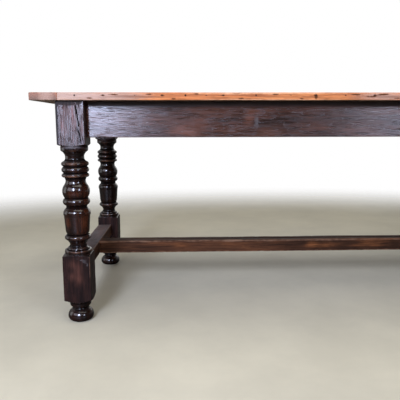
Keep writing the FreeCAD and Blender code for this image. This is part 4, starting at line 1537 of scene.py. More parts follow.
@dataclass
class Underframe:
    """Aprons, cross rails and stretchers between the legs."""

    sizes: TableSizes
    finishes: Finishes
    rail_x: float = 430.0
    rail_thickness: float = 28.0
    rail_height: float = 70.0

    def build(self) -> None:
        """Build all rails of the frame."""
        self.build_aprons()
        self.build_cross_rails()
        self.build_stretchers()

    def build_aprons(self) -> None:
        """Build the long aprons and the end aprons."""
        sizes = self.sizes
        bottom = sizes.underside - sizes.apron_height
        span = sizes.leg_x - sizes.half_leg
        face = sizes.leg_y + sizes.half_leg - sizes.apron_recess
        for name, sign in (("front", -1), ("back", 1)):
            near, far = sorted((sign * face, sign * (face - sizes.apron_thickness)))
            WornBar(
                f"long_apron_{name}",
                Axis.X,
                (-span, near, bottom),
                (span, far, sizes.underside),
                f"{name}_apron",
                "frame_oak",
                end_soft=0.4,
                spacing=9.0,
                face_spacing=11.0,
                bare=(Side.HIGH_FIRST if sign < 0 else Side.LOW_FIRST,),
                marks=tuple(mark.turned(-sign) for mark in APRON_MARKS),
                seed=41 + sign,
            ).build(self.finishes.long_apron)
        span = sizes.leg_y - sizes.half_leg
        face = sizes.leg_x + sizes.half_leg - sizes.apron_recess
        for name, sign in ENDS:
            near, far = sorted((sign * face, sign * (face - sizes.apron_thickness)))
            WornBar(
                f"end_apron_{name}",
                Axis.Y,
                (near, -span, bottom),
                (far, span, sizes.underside),
                f"{name}_end_apron",
                "frame_oak",
                end_soft=0.4,
                bare=(Side.HIGH_SECOND if sign < 0 else Side.LOW_SECOND,),
                seed=51 + sign,
            ).build(self.finishes.end_apron)

    def build_cross_rails(self) -> None:
        """Build the hidden rails under the top."""
        sizes = self.sizes
        reach = sizes.leg_y + sizes.half_leg - sizes.apron_recess - sizes.apron_thickness
        half = self.rail_thickness / 2
        for name, sign in ENDS:
            middle = sign * self.rail_x
            WornBar(
                f"cross_rail_{name}",
                Axis.Y,
                (middle - half, -reach, sizes.underside - self.rail_height),
                (middle + half, reach, sizes.underside),
                f"{name}_cross_rail",
                "raw_oak",
                end_soft=0.4,
                seed=61 + sign,
            ).build(self.finishes.inner)

    def build_stretchers(self) -> None:
        """Build the two end stretchers and the long one between them."""
        sizes = self.sizes
        bottom = sizes.stretcher_level
        top = bottom + sizes.stretcher_height
        outer = sizes.leg_x + sizes.half_leg
        inner = outer - sizes.end_stretcher_width
        span = sizes.leg_y - sizes.half_leg
        for name, sign in ENDS:
            near, far = sorted((sign * outer, sign * inner))
            WornBar(
                f"low_stretcher_{name}",
                Axis.Y,
                (near, -span, bottom),
                (far, span, top),
                f"{name}_end_stretcher",
                "frame_oak",
                softs=(3.0, 1.8, 1.8, 3.0),
                end_soft=0.4,
                nick=2.0,
                seed=71 + sign,
            ).build(self.finishes.end_stretcher)
        half = sizes.centre_stretcher_width / 2
        WornBar(
            "low_stretcher_centre",
            Axis.X,
            (-inner, -half, bottom),
            (inner, half, top),
            "centre_stretcher",
            "frame_oak",
            softs=(4.0, 4.0, 1.8, 1.8),
            end_soft=0.4,
            spacing=8.0,
            face_spacing=10.0,
            nick=2.4,
            wave=0.6,
            marks=STRETCHER_MARKS,
            seed=77,
        ).build(self.finishes.long_stretcher)


# Turned legs and feet

# Distances between the samples of an outline, and the change of radius that counts as steep
STEEP_STEP, PLAIN_STEP, ARC_STEP, STEEP_RUN = 0.7, 5.0, 1.6, 8.0


@dataclass(frozen=True)
class Turn:
    """One turned member: its height, the radius at its upper end, its bend and its bulge."""

    rise: float
    radius: float
    bend: Bend = Bend.STRAIGHT
    bulge: float = 0.0

    def points(self, radius: float, level: float) -> tuple[Array, Array]:
        """Sample the outline of the member upwards from its lower end.

        Args:
            radius: Radius at its lower end.
            level: Height of its lower end.

        Returns:
            The radii and the levels of the samples, without the lower end.
        """
        if self.bend is Bend.STRAIGHT:
            step = STEEP_STEP if abs(self.radius - radius) > STEEP_RUN else PLAIN_STEP
            count = max(1, round(self.rise / step))
            share = np.arange(1, count + 1) / count
            return radius + (self.radius - radius) * share, level + self.rise * share
        run = self.radius - radius
        chord = math.hypot(run, self.rise)
        arc = chord * chord / (8 * self.bulge) + self.bulge / 2
        half_turn = math.asin(min(1.0, chord / (2 * arc)))
        count = max(6, round(2 * half_turn * arc / ARC_STEP))
        sweep_turn = np.linspace(-half_turn, half_turn, count + 1)[1:]
        along = (np.sin(sweep_turn) / math.sin(half_turn) + 1) / 2
        off = (np.cos(sweep_turn) - math.cos(half_turn)) * arc * self.bend.value
        out = (self.rise / chord, -run / chord)
        return radius + run * along + off * out[0], level + self.rise * along + off * out[1]


@dataclass
class Outline:
    """A lathe outline, sampled from its members."""

    start_radius: float
    members: tuple[Turn, ...]

    def sampled(self) -> tuple[Array, Array]:
        """Sample all members from the bottom to the top.

        Returns:
            The radii and the levels.
        """
        radii, levels = [np.array([self.start_radius])], [np.array([0.0])]
        for member in self.members:
            radius, level = member.points(float(radii[-1][-1]), float(levels[-1][-1]))
            radii.append(radius)
            levels.append(level)
        return np.concatenate(radii), np.concatenate(levels)


PROUD_SAMPLES = 1400
FULLY_PROUD = 3.2


def proudness(radii: Array, levels: Array, reach: float) -> Array:
    """Say how far each place of an outline stands proud of its surroundings.

    Args:
        radii: Radii of the outline.
        levels: Levels of the outline.
        reach: How far up and down the surroundings go.

    Returns:
        About 1 on crests that hands rub and -1 in grooves, which are drawn darker.
    """
    grid = np.linspace(levels[0], levels[-1], PROUD_SAMPLES)
    filled = np.interp(grid, levels, radii)
    width = max(1, int(reach / (grid[1] - grid[0])))
    window = np.ones(2 * width + 1) / (2 * width + 1)
    mean = np.convolve(np.pad(filled, width, mode="edge"), window, mode="valid")
    return np.clip((radii - np.interp(levels, grid, mean)) / FULLY_PROUD, -1.0, 1.0)


def ring_points(radius: Array | float, around: Array, level: Array) -> Array:
    """Place points round Z from their radius, angle and level."""
    return np.stack([radius * np.cos(around), radius * np.sin(around), level], axis=-1)


def from_face_middle(angles: Array) -> Array:
    """Measure angles from the middle of the nearest side of a square."""
    return np.abs((angles + math.pi / 4) % (math.pi / 2) - math.pi / 4)


@dataclass(frozen=True)
class Crack:
    """A drying crack in one face of a leg's block."""

    axis: Axis
    sign: int
    path: tuple[Span, ...]
    width: float = 1.5
    depth: float = 7.0
    samples: int = 26
    wander: float = 0.7
    sway_spacing: float = 9.0
    gape_swing: float = 0.3
    tips: Span = (0.02, 0.98)
    lift: float = 1.0

    def cutter(self, half: float, seed: int) -> Mesh:
        """Make the wedge that opens the crack.

        Args:
            half: Half the square of the leg.
            seed: Seed of the crack's wander.

        Returns:
            A closed wedge about the leg's axis.
        """
        across, levels = np.array(self.path).T
        length = np.linspace(0, 1, self.samples)
        knots = np.linspace(0, 1, len(across))
        level = np.interp(length, knots, levels)
        sway = Grit(seed).at(np.stack([level, level * 0, level * 0], axis=-1), self.sway_spacing)
        place = np.interp(length, knots, across) + self.wander * sway
        swell = np.sqrt(np.sin(math.pi * np.clip(length, *self.tips)))
        gape = self.width * swell * (1 + self.gape_swing * sway)
        rings = np.zeros((len(length), 3, 3))
        other = 1 - self.axis.value
        wedge = ((-0.5, self.lift), (0.5, self.lift), (0.0, -self.depth))
        for corner, (shift, out) in enumerate(wedge):
            rings[:, corner, self.axis.value] = self.sign * (half + out)
            rings[:, corner, other] = place + shift * gape
            rings[:, corner, 2] = level
        points, faces = sweep(rings)
        return Draft(points, faces).mesh("crack_wedge")


ROUND, HOLLOW = Bend.ROUND, Bend.HOLLOW
CLEAR = 69.35
SHAFT = (
    Turn(8, 36, ROUND, 1.6),
    Turn(4, 36),
    Turn(11, 44, HOLLOW, 1.8),
    Turn(11, CLEAR),
    Turn(149, CLEAR),
    Turn(6, 44),
    Turn(12, 44, ROUND, 1.1),
    Turn(1, 36),
    Turn(8, 32, ROUND, 2.2),
    Turn(10, 27.5, HOLLOW, 1.6),
    Turn(18, 41, HOLLOW, 2.4),
    Turn(12, 41, ROUND, 2.7),
    Turn(2, 35.5),
    Turn(3, 35.5),
    Turn(18, 40, ROUND, 1.2),
    Turn(46, 43.5),
    Turn(3, 45),
    Turn(8, 45),
    Turn(15, 34.5, ROUND, 1.6),
    Turn(7, 34.5),
    Turn(3, 38.5),
    Turn(22, 38.5, ROUND, 6.5),
    Turn(2, 38.5),
    Turn(41, 39.5, ROUND, 6.3),
    Turn(16, 32.8, HOLLOW, 1.3),
    Turn(8, 35.3, HOLLOW, 0.5),
    Turn(3, 35.3),
    Turn(1, 40.5),
    Turn(12, 40.5, ROUND, 4.5),
    Turn(2, 38.5),
    Turn(2, 40.5),
    Turn(17, 40.5, ROUND, 4.5),
    Turn(2, 38.5),
    Turn(2, 40.5),
    Turn(14, 40.5, ROUND, 4.5),
    Turn(2, 37),
    Turn(9, 31, HOLLOW, 1.4),
    Turn(8, 31),
    Turn(17, 44, HOLLOW, 2.4),
    Turn(16, 44, ROUND, 0.9),
    Turn(7, CLEAR),
    Turn(138, CLEAR),
)
BUN = (
    Turn(17, 43.5, ROUND, 3.4),
    Turn(24, 29, ROUND, 3.9),
    Turn(6, 25.5, HOLLOW, 0.6),
    Turn(3, 27.5),
)


class LegFinish(Enum):
    """The finishes of a leg, in the order of its material slots."""

    TURNED = 0
    LOW_BLOCK = 1
    HIGH_BLOCK = 2


@dataclass
class TurnedLeg:
    """One leg: a square billet with turned members between its blocks, on a bun foot."""

    label: str
    along: int
    inward: int
    sizes: TableSizes
    finishes: Finishes
    cracks: tuple[Crack, ...] = ()
    marks: tuple[Mark, ...] = ()
    arris: float = 2.0
    seed: int = 100
    face_columns: int = 13
    arris_columns: int = 5
    arris_margin: float = 3.0
    mid_level: float = 380.0
    disc_level: float = 545.0
    facing_share: float = 0.69
    base_radius: float = 29.0
    rim_radius: float = 60.0
    arris_reach: float = 5.0
    arris_layers: tuple[Span, ...] = ((0.5, 45.0), (0.25, 13.0))
    shoulder_reach: float = 2.5
    block_shoulder: float = 0.8
    turned_shoulder: float = 0.6
    crest_reach: float = 9.0
    crest_dents: float = 0.3
    groove_darkening: float = 1.4
    wave_layers: tuple[Span, ...] = ((0.22, 60.0), (0.1, 14.0))
    dent_depth: float = 1.4
    dent_shift: float = 300.0
    dent_spacing: float = 9.0
    dent_level: float = 0.5
    foot_radius: float = 31.0
    foot_rim: float = 45.0
    foot_columns: int = 96
    foot_layers: tuple[Span, ...] = ((0.25, 40.0),)
    foot_dent_depth: float = 1.2
    foot_dent_spacing: float = 8.0
    foot_dent_level: float = 0.45
    foot_seed: int = 50

    @property
    def centre(self) -> Array:
        """Where the axis of the leg stands on the floor."""
        return np.array([-self.along * self.sizes.leg_x, -self.inward * self.sizes.leg_y, 0.0])

    def columns(self) -> Array:
        """Lay out the columns round the leg, closer together at the arrises.

        Returns:
            The angles of the columns, once round.
        """
        half = self.sizes.half_leg
        flat = np.arctan(np.linspace(0, half - self.arris_margin, self.face_columns) / half)
        curl = np.linspace(flat[-1], math.pi / 4, self.arris_columns)[1:]
        octant = np.concatenate([flat, curl])
        quarter = np.concatenate([octant, (math.pi / 2 - octant[1:-1])[::-1]])
        return np.concatenate([quarter + turn * math.pi / 2 for turn in range(4)])

    def square(self, angles: Array, soft: Array) -> Array:
        """Measure the rounded square from its axis.

        Args:
            angles: Directions round the axis.
            soft: Radius of the arris in each direction.

        Returns:
            Distance of the square's side in each direction.
        """
        half = self.sizes.half_leg
        folded = from_face_middle(angles)
        flat = half / np.cos(folded)
        towards = (half - soft) * (np.cos(folded) + np.sin(folded))
        arc = towards + np.sqrt(np.maximum(towards**2 - 2 * (half - soft) ** 2 + soft**2, 0.0))
        return np.where(half * np.tan(folded) > half - soft, arc, flat)

    def draft(self) -> Draft:
        """Turn the billet.

        Returns:
            The points, faces, wear, marks and finishes of the leg, with its axis at the origin.
        """
        grit = Grit(self.seed)
        radii, levels = Outline(self.base_radius, SHAFT).sampled()
        around, level = np.meshgrid(self.columns(), levels)
        turned = np.repeat(radii[:, None], around.shape[1], axis=1)
        rim = ring_points(self.rim_radius, around, level)
        soft = self.arris * grit.over(1.0, rim, self.arris_layers)
        square = self.square(around, soft)
        flat_part = turned > square
        from_arris = self.sizes.half_leg * (1 - np.tan(from_face_middle(around)))
        arris_wear = np.exp(-np.maximum(from_arris, 0.0) / self.arris_reach)
        shoulder_wear = np.exp(-np.abs(turned - square) / self.shoulder_reach)
        proud = proudness(np.minimum(radii, self.sizes.half_leg), levels, self.crest_reach)
        crest = np.repeat(proud[:, None], around.shape[1], axis=1)
        # Grooves are drawn darker by the negative wear.
        rubbed = np.where(crest < 0, self.groove_darkening, 1.0) * crest
        rubbed = rubbed + self.turned_shoulder * shoulder_wear
        planed = np.maximum(arris_wear, self.block_shoulder * shoulder_wear)
        wear = np.where(flat_part, planed, rubbed)
        radius = grit.over(np.minimum(turned, square), rim, self.wave_layers)
        dents = grit.dents(rim + self.dent_shift, self.dent_spacing, self.dent_level)
        struck = np.where(flat_part, arris_wear, self.crest_dents * np.clip(crest, 0.0, 1.0))
        radius = radius - self.dent_depth * dents * struck
        points, faces = sweep(ring_points(radius, around, level))
        kinds = self.kinds(flat_part, around, level)
        return Draft(points, faces, wear.reshape(-1), marks=self.marks, kinds=kinds)

    def kinds(self, flat_part: Array, around: Array, level: Array) -> Array:
        """Choose the finish of each face.

        Args:
            flat_part: Whether each point lies on a flat side of a block.
            around: Angle of each point.
            level: Level of each point.

        Returns:
            The number of each face's finish, with those of the two ends last.
        """
        planed = flat_part & np.roll(flat_part, -1, axis=1)
        planed = planed[:-1] & planed[1:]
        facing = np.abs(np.sin(around[1:])) > self.facing_share
        dark = np.where(
            planed | (level[1:] > self.disc_level),
            LegFinish.LOW_BLOCK.value,
            LegFinish.TURNED.value,
        )
        dry = planed & (level[1:] > self.mid_level) & facing
        kinds = np.where(dry, LegFinish.HIGH_BLOCK.value, dark)
        return np.concatenate([kinds.reshape(-1), [LegFinish.TURNED.value] * 2])

    def open_cracks(self, piece: Mesh) -> Mesh:
        """Split the drying cracks into the blocks.

        Args:
            piece: Mesh of the leg, about its own axis.

        Returns:
            The cracked mesh.
        """
        wedges = [
            crack.cutter(self.sizes.half_leg, self.seed + number)
            for number, crack in enumerate(self.cracks)
        ]
        return carve(piece, wedges)

    def build(self) -> None:
        """Build the leg and its foot."""
        mesh = self.draft().mesh(f"leg_{self.label}")
        for finish in LegFinish:
            mesh.materials.append(getattr(self.finishes, finish.name.lower()))
        mesh = self.open_cracks(mesh)
        base = self.centre + np.array([0.0, 0.0, self.sizes.foot_height])
        mesh.transform(Matrix.Translation(Vector(base * MM)))
        smooth_mesh(mesh)
        place_piece(f"leg_{self.label}", mesh, (f"{self.label}_leg",))
        self.build_foot()

    def build_foot(self) -> None:
        """Build the bun foot."""
        grit = Grit(self.seed + self.foot_seed)
        radii, levels = Outline(self.foot_radius, BUN).sampled()
        angles = np.linspace(0, 2 * math.pi, self.foot_columns, endpoint=False)
        around, level = np.meshgrid(angles, levels)
        radius = np.repeat(radii[:, None], len(angles), axis=1)
        rim = ring_points(self.foot_rim, around, level)
        wear = np.repeat(proudness(radii, levels, self.crest_reach)[:, None], len(angles), axis=1)
        dents = grit.dents(rim, self.foot_dent_spacing, self.foot_dent_level)
        radius = grit.over(radius, rim, self.foot_layers) - self.foot_dent_depth * dents
        points, faces = sweep(ring_points(radius, around, level) + self.centre)
        mesh = Draft(points, faces, wear.reshape(-1)).mesh(f"bun_foot_{self.label}")
        smooth_mesh(mesh)
        mesh.materials.append(self.finishes.turned)
        place_piece(f"bun_foot_{self.label}", mesh, (f"{self.label}_foot",))


# Pegs, buttons, screws and tack marks


class SetOut:
    """A Geometry Nodes tree that sets out copies of one small piece on points."""

    def __init__(self) -> None:
        """Build the tree with its named inputs."""
        self.tree = bpy.data.node_groups.new("set_out_small_pieces", "GeometryNodeTree")
        self.sockets = {}
        for label, kind in (
            ("Points", "NodeSocketGeometry"),
            ("Piece", "NodeSocketObject"),
            ("Spin", "NodeSocketFloat"),
            ("Smallest", "NodeSocketFloat"),
            ("Largest", "NodeSocketFloat"),
            ("Seed", "NodeSocketInt"),
            ("Finish", "NodeSocketMaterial"),
        ):
            socket = self.tree.interface.new_socket(label, in_out="INPUT", socket_type=kind)
            self.sockets[label] = socket.identifier
        self.tree.interface.new_socket("Pieces", in_out="OUTPUT", socket_type="NodeSocketGeometry")
        self.wire()

    def wire(self) -> None:
        """Join the nodes that aim, spin, scale, realize and finish the copies."""
        nodes = Nodes(self.tree)
        given = nodes.add("NodeGroupInput").outputs
        piece = nodes.add("GeometryNodeObjectInfo")
        nodes.fill(piece, Object=given["Piece"])
        aim = nodes.add("GeometryNodeInputNamedAttribute", data_type="FLOAT_VECTOR")
        nodes.fill(aim, Name="aim")
        aimed = nodes.add("FunctionNodeAlignRotationToVector", axis="Z")
        nodes.fill(aimed, Vector=aim.outputs["Attribute"])
        angle = nodes.add("GeometryNodeInputNamedAttribute", data_type="FLOAT")
        nodes.fill(angle, Name="turn")
        wobble = nodes.add("FunctionNodeRandomValue", data_type="FLOAT")
        nodes.feed(pick(wobble.inputs, "Min_001"), 0.0)
        nodes.feed(pick(wobble.inputs, "Max_001"), given["Spin"])
        nodes.fill(wobble, Seed=given["Seed"])
        total = nodes.sum("ADD", angle.outputs["Attribute"], pick(wobble.outputs, "Value_001"))
        spin = nodes.add("FunctionNodeAxisAngleToRotation")
        nodes.fill(spin, Angle=total)
        turned = nodes.add("FunctionNodeRotateRotation", rotation_space="LOCAL")
        nodes.fill(turned, Rotation=aimed.outputs["Rotation"], Rotate_By=spin.outputs["Rotation"])
        grown = nodes.add("FunctionNodeRandomValue", data_type="FLOAT")
        nodes.feed(pick(grown.inputs, "Min_001"), given["Smallest"])
        nodes.feed(pick(grown.inputs, "Max_001"), given["Largest"])
        nodes.fill(grown, Seed=given["Seed"])
        copies = nodes.add("GeometryNodeInstanceOnPoints")
        nodes.fill(
            copies,
            Points=given["Points"],
            Instance=piece.outputs["Geometry"],
            Rotation=turned.outputs["Rotation"],
            Scale=pick(grown.outputs, "Value_001"),
        )
        real = nodes.add("GeometryNodeRealizeInstances")
        nodes.fill(real, Geometry=copies.outputs["Instances"])
        finish = nodes.add("GeometryNodeSetMaterial")
        nodes.fill(finish, Geometry=real.outputs["Geometry"], Material=given["Finish"])
        nodes.fill(nodes.add("NodeGroupOutput"), Pieces=finish.outputs["Geometry"])

    def lay(
        self,
        name: str,
        pattern: Mesh,
        spots: list["Spot"],
        material: Material,
        **inputs: object,
    ) -> Mesh:
        """Set out copies of a pattern and make them one plain mesh.

        Args:
            name: Name of the mesh.
            pattern: The small piece, about its own origin, with its face along Z.
            spots: Where the copies go.
            material: Their finish.
            **inputs: Other inputs of the tree by name.

        Returns:
            The realized mesh.
        """
        smooth_mesh(pattern)
        sample = show("pattern", pattern)
        cloud = bpy.data.meshes.new("spots")
        cloud.from_pydata([[part * MM for part in spot.place] for spot in spots], [], [])
        aim = cloud.attributes.new("aim", "FLOAT_VECTOR", "POINT")
        aim.data.foreach_set("vector", [part for spot in spots for part in spot.aim])
        turn = cloud.attributes.new("turn", "FLOAT", "POINT")
        turn.data.foreach_set("value", [spot.turn for spot in spots])
        carrier = show("carrier", cloud)
        layer = carrier.modifiers.new("set_out", "NODES")
        layer.node_group = self.tree
        settings = {"Spin": 0.0, "Smallest": 1.0, "Largest": 1.0, "Seed": 7}
        settings.update(inputs, Piece=sample, Finish=material)
        for label, value in settings.items():
            layer[self.sockets[label]] = value
        result = applied(carrier)
        result.name = name
        for used in (carrier, sample):
            bpy.data.objects.remove(used)
        return result


@dataclass(frozen=True)
class Spot:
    """Where a small piece sits, which way its face looks and how it is turned."""

    place: Triple
    aim: Triple
    turn: float = 0.0


def lathe(outline: list[Span], sides: int) -> Draft:
    """Turn a small piece about Z.

    Args:
        outline: Radius and level of each ring, from the bottom to the top.
        sides: Number of points in a ring.

    Returns:
        The points and faces of the piece, unworn.
    """
    angles = np.linspace(0, 2 * math.pi, sides, endpoint=False)
    rings = np.array([[(r * math.cos(a), r * math.sin(a), z) for a in angles] for r, z in outline])
    points, faces = sweep(rings)
    return Draft(points, faces)


def prism(side: list[Span], half: float) -> Draft:
    """Draw a side out along X, by the same length to the left and to the right.

    Args:
        side: Place along Y and level of each corner of the side.
        half: Half the length.

    Returns:
        The points and faces of the piece, unworn.
    """
    points, faces = sweep(np.array([[(x, y, z) for y, z in side] for x in (-half, half)]))
    return Draft(points, faces)


@dataclass
class SmallPieces:
    """The pegs, buttons, screws and tack marks of the table."""

    sizes: TableSizes
    finishes: Finishes
    layout: SetOut = field(default_factory=SetOut)
    peg_radius: float = 4.5
    peg_proud: float = 0.15
    peg_length: float = 60.0
    cleat_peg_radius: float = 4.0
    apron_peg_inset: float = 27.5
    apron_peg_levels: Span = (659.5, 705.5)
    stretcher_peg_inset: float = 20.5
    button_x: Span = (210.0, 670.0)
    button_y: float = 120.0
    button_thickness: float = 22.0
    screw_setback: float = 26.0
    cleat_peg_x: float = 989.5
    board_middles: tuple[float, ...] = (-307.0, -107.0, 104.0, 304.0)
    tack_sunk: float = 0.3

    def build(self) -> None:
        """Set out all small pieces."""
        self.build_pegs()
        self.build_fixings()
        self.build_tacks()

    def peg(self, radius: float, length: float) -> Mesh:
        """Whittle one peg, with its head at its origin and a slightly domed end.

        Args:
            radius: Its radius.
            length: Its length.

        Returns:
            The mesh of the peg.
        """
        tip = [(radius * 0.8, -length), (radius, 3 - length)]
        head = [(radius, -0.2), (radius * 0.93, self.peg_proud)]
        return lathe(tip + head, 12).mesh("peg")

    def build_pegs(self) -> None:
        """Set out the pegs of the aprons, stretchers and cleats."""
        sizes = self.sizes
        outer_x, outer_y = sizes.leg_x + sizes.half_leg, sizes.leg_y + sizes.half_leg
        signs = list(itertools.product((-1, 1), repeat=2))
        apron = []
        for (x, y), level in itertools.product(signs, self.apron_peg_levels):
            inset = self.apron_peg_inset
            apron.append(Spot((x * (sizes.leg_x - inset), y * outer_y, level), (0, y, 0)))
            apron.append(Spot((x * outer_x, y * (sizes.leg_y - inset), level), (x, 0, 0)))
        middle = sizes.stretcher_level + sizes.stretcher_height / 2
        top = sizes.stretcher_level + sizes.stretcher_height
        low_y = sizes.leg_y - self.stretcher_peg_inset
        low = [Spot((x * outer_x, y * low_y, middle), (x, 0, 0)) for x, y in signs]
        tenon_middle = outer_x - sizes.end_stretcher_width + sizes.centre_tenon_length / 2
        low += [Spot((x * tenon_middle, 0, top), (0, 0, 1)) for x in (-1, 1)]
        cleat = [
            Spot((x * self.cleat_peg_x, y, sizes.top_height), (0, 0, 1))
            for x, y in itertools.product((-1, 1), self.board_middles)
        ]
        peg = self.peg(self.peg_radius, self.peg_length)
        short_peg = self.peg(self.peg_radius, sizes.stretcher_height - 1)
        cleat_peg = self.peg(self.cleat_peg_radius, sizes.top_height - sizes.underside)
        for name, pattern, spots, material in (
            ("apron_peg_heads", peg, apron, self.finishes.high_block),
            ("stretcher_peg_heads", short_peg, low, self.finishes.low_block),
            ("cleat_peg_heads", cleat_peg, cleat, self.finishes.cleat),
        ):
            mesh = self.layout.lay(name, pattern, spots, material, Spin=2 * math.pi, Smallest=0.96)
            place_piece(name, mesh, (name.replace("_peg_heads", "_pegs"),))

    def build_fixings(self) -> None:
        """Set out the buttons and screws that hold the top."""
        sizes = self.sizes
        inset = sizes.apron_recess + sizes.apron_thickness - sizes.half_leg
        reach_x, reach_y = sizes.leg_x - inset, sizes.leg_y - inset
        seats = []
        for sign in (-1, 1):
            turn = 0.0 if sign < 0 else math.pi
            places = [side * x for x in self.button_x for side in (-1, 1)]
            seats += [(x, sign * reach_y, turn, 0, -sign) for x in places]
            turn = -math.pi / 2 if sign < 0 else math.pi / 2
            places = [side * self.button_y for side in (-1, 1)]
            seats += [(sign * reach_x, y, turn, -sign, 0) for y in places]
        level, setback = sizes.underside - self.button_thickness, self.screw_setback
        buttons = [Spot((x, y, level), (0, 0, 1), turn) for x, y, turn, *_ in seats]
        screws = [
            Spot((x + setback * along, y + setback * across, level), (0, 0, -1))
            for x, y, _, along, across in seats
        ]
        mesh = self.layout.lay("button_blocks", self.button(), buttons, self.finishes.inner)
        place_piece("button_blocks", mesh, ("top_buttons",))
        mesh = self.layout.lay(
            "button_screw_heads", self.screw(), screws, self.finishes.iron, Spin=2 * math.pi
        )
        place_piece("button_screw_heads", mesh, ("button_screws",))

    @staticmethod
    def screw() -> Mesh:
        """Turn one screw with a low crown, and cut the slot across its head.

        Returns:
            The mesh of the screw, with the seat of its head at its origin.
        """
        shank = [(2.3, -30.0), (2.3, 0.0)]
        crown = [(4.5, 0.0), (4.5, 1.2), (4.1, 1.9), (3.0, 2.5), (1.4, 2.8)]
        slot = prism([(-0.5, 1.6), (0.5, 1.6), (0.5, 4.0), (-0.5, 4.0)], 6.0)
        return carve(lathe(shank + crown, 20).mesh("screw"), [slot.mesh("slot")])

    @staticmethod
    def button() -> Mesh:
        """Shape one button: a block with a tongue for the apron and a bevelled nose.

        Returns:
            The mesh of the button, with its lower side at its origin.
        """
        side = [(-10, 0), (37, 0), (45, 8), (45, 22), (1, 22), (1, 12), (-10, 12)]
        block = prism(side, 16.0)
        block.bare = np.ones(len(block.points))
        return block.mesh("button")

    def build_tacks(self) -> None:
        """Set out the old tack marks along the front edge of the top."""
        front = -self.sizes.top_half_width
        spots = [Spot((x, front + self.tack_sunk, TACK_LEVEL), (0, -1, 0)) for x in TACKS]
        mark = lathe([(1.6, -3.0), (2.6, 0.0), (2.1, 0.45), (0.8, 0.6)], 11).mesh("tack")
        random = {"Spin": 2 * math.pi, "Smallest": 0.7, "Largest": 1.4}
        mesh = self.layout.lay("tack_marks", mark, spots, self.finishes.tack, **random)
        place_piece("tack_marks", mesh, ())


# Studio


@dataclass(frozen=True)
class Softbox:
    """One plain area lamp that looks at a point."""

    name: str
    place: Triple
    target: Triple
    width: float
    height: float
    radiance: float
    colour: Colour = (1.0, 1.0, 1.0)

    def build(self) -> None:
        """Hang the lamp."""
        lamp = bpy.data.lights.new(self.name, "AREA")
        lamp.shape = "RECTANGLE"
        lamp.size, lamp.size_y = self.width, self.height
        lamp.energy = self.radiance * math.pi * self.width * self.height
        lamp.color = self.colour
        hung = show(self.name, lamp)
        hung.location = self.place
        hung.rotation_mode = "QUATERNION"
        ahead = Vector(self.target) - Vector(self.place)
        hung.rotation_quaternion = ahead.to_track_quat("-Z", "Y")
        hung.visible_camera = False


LAMPS = tuple(
    Softbox(*row)
    for row in (
        ("left_window", (-1.53, -3.6, 2.02), (-1.53, 0, 0.7), 0.66, 1.35, 50.0, (0.62, 0.71, 1.0)),
        ("left_bay", (-1.95, -3.66, 1.9), (-1.95, 0.0, 0.7), 1.6, 1.9, 3.4, (0.8, 0.82, 1.0)),
        ("right_window", (1.7, -3.6, 2.02), (1.7, 0.0, 0.7), 0.8, 1.1, 21.0, (0.68, 0.76, 1.0)),
        ("front_strip", (-0.2, -3.6, 2.3), (-0.2, 0.0, 0.6), 4.5, 0.5, 1.5, (1.0, 0.9, 0.78)),
        ("left_wall", (-3.4, -0.2, 0.8), (0.0, -0.2, 0.6), 1.2, 1.6, 1.2, (0.95, 0.97, 1.0)),
        ("left_front_wall", (-3.2, -2.4, 1.7), (-0.9, -0.3, 0.5), 2.0, 1.6, 2.5, (0.88, 0.87, 1.0)),
        ("back_wall", (0.3, 4.2, 1.7), (0.0, 0.0, 0.5), 4.0, 2.2, 0.9, (1.0, 0.98, 0.94)),
        ("ceiling", (-0.2, -0.6, 3.2), (-0.2, -0.1, 0.4), 3.2, 2.4, 2.2, (1.0, 0.96, 0.88)),
    )
)


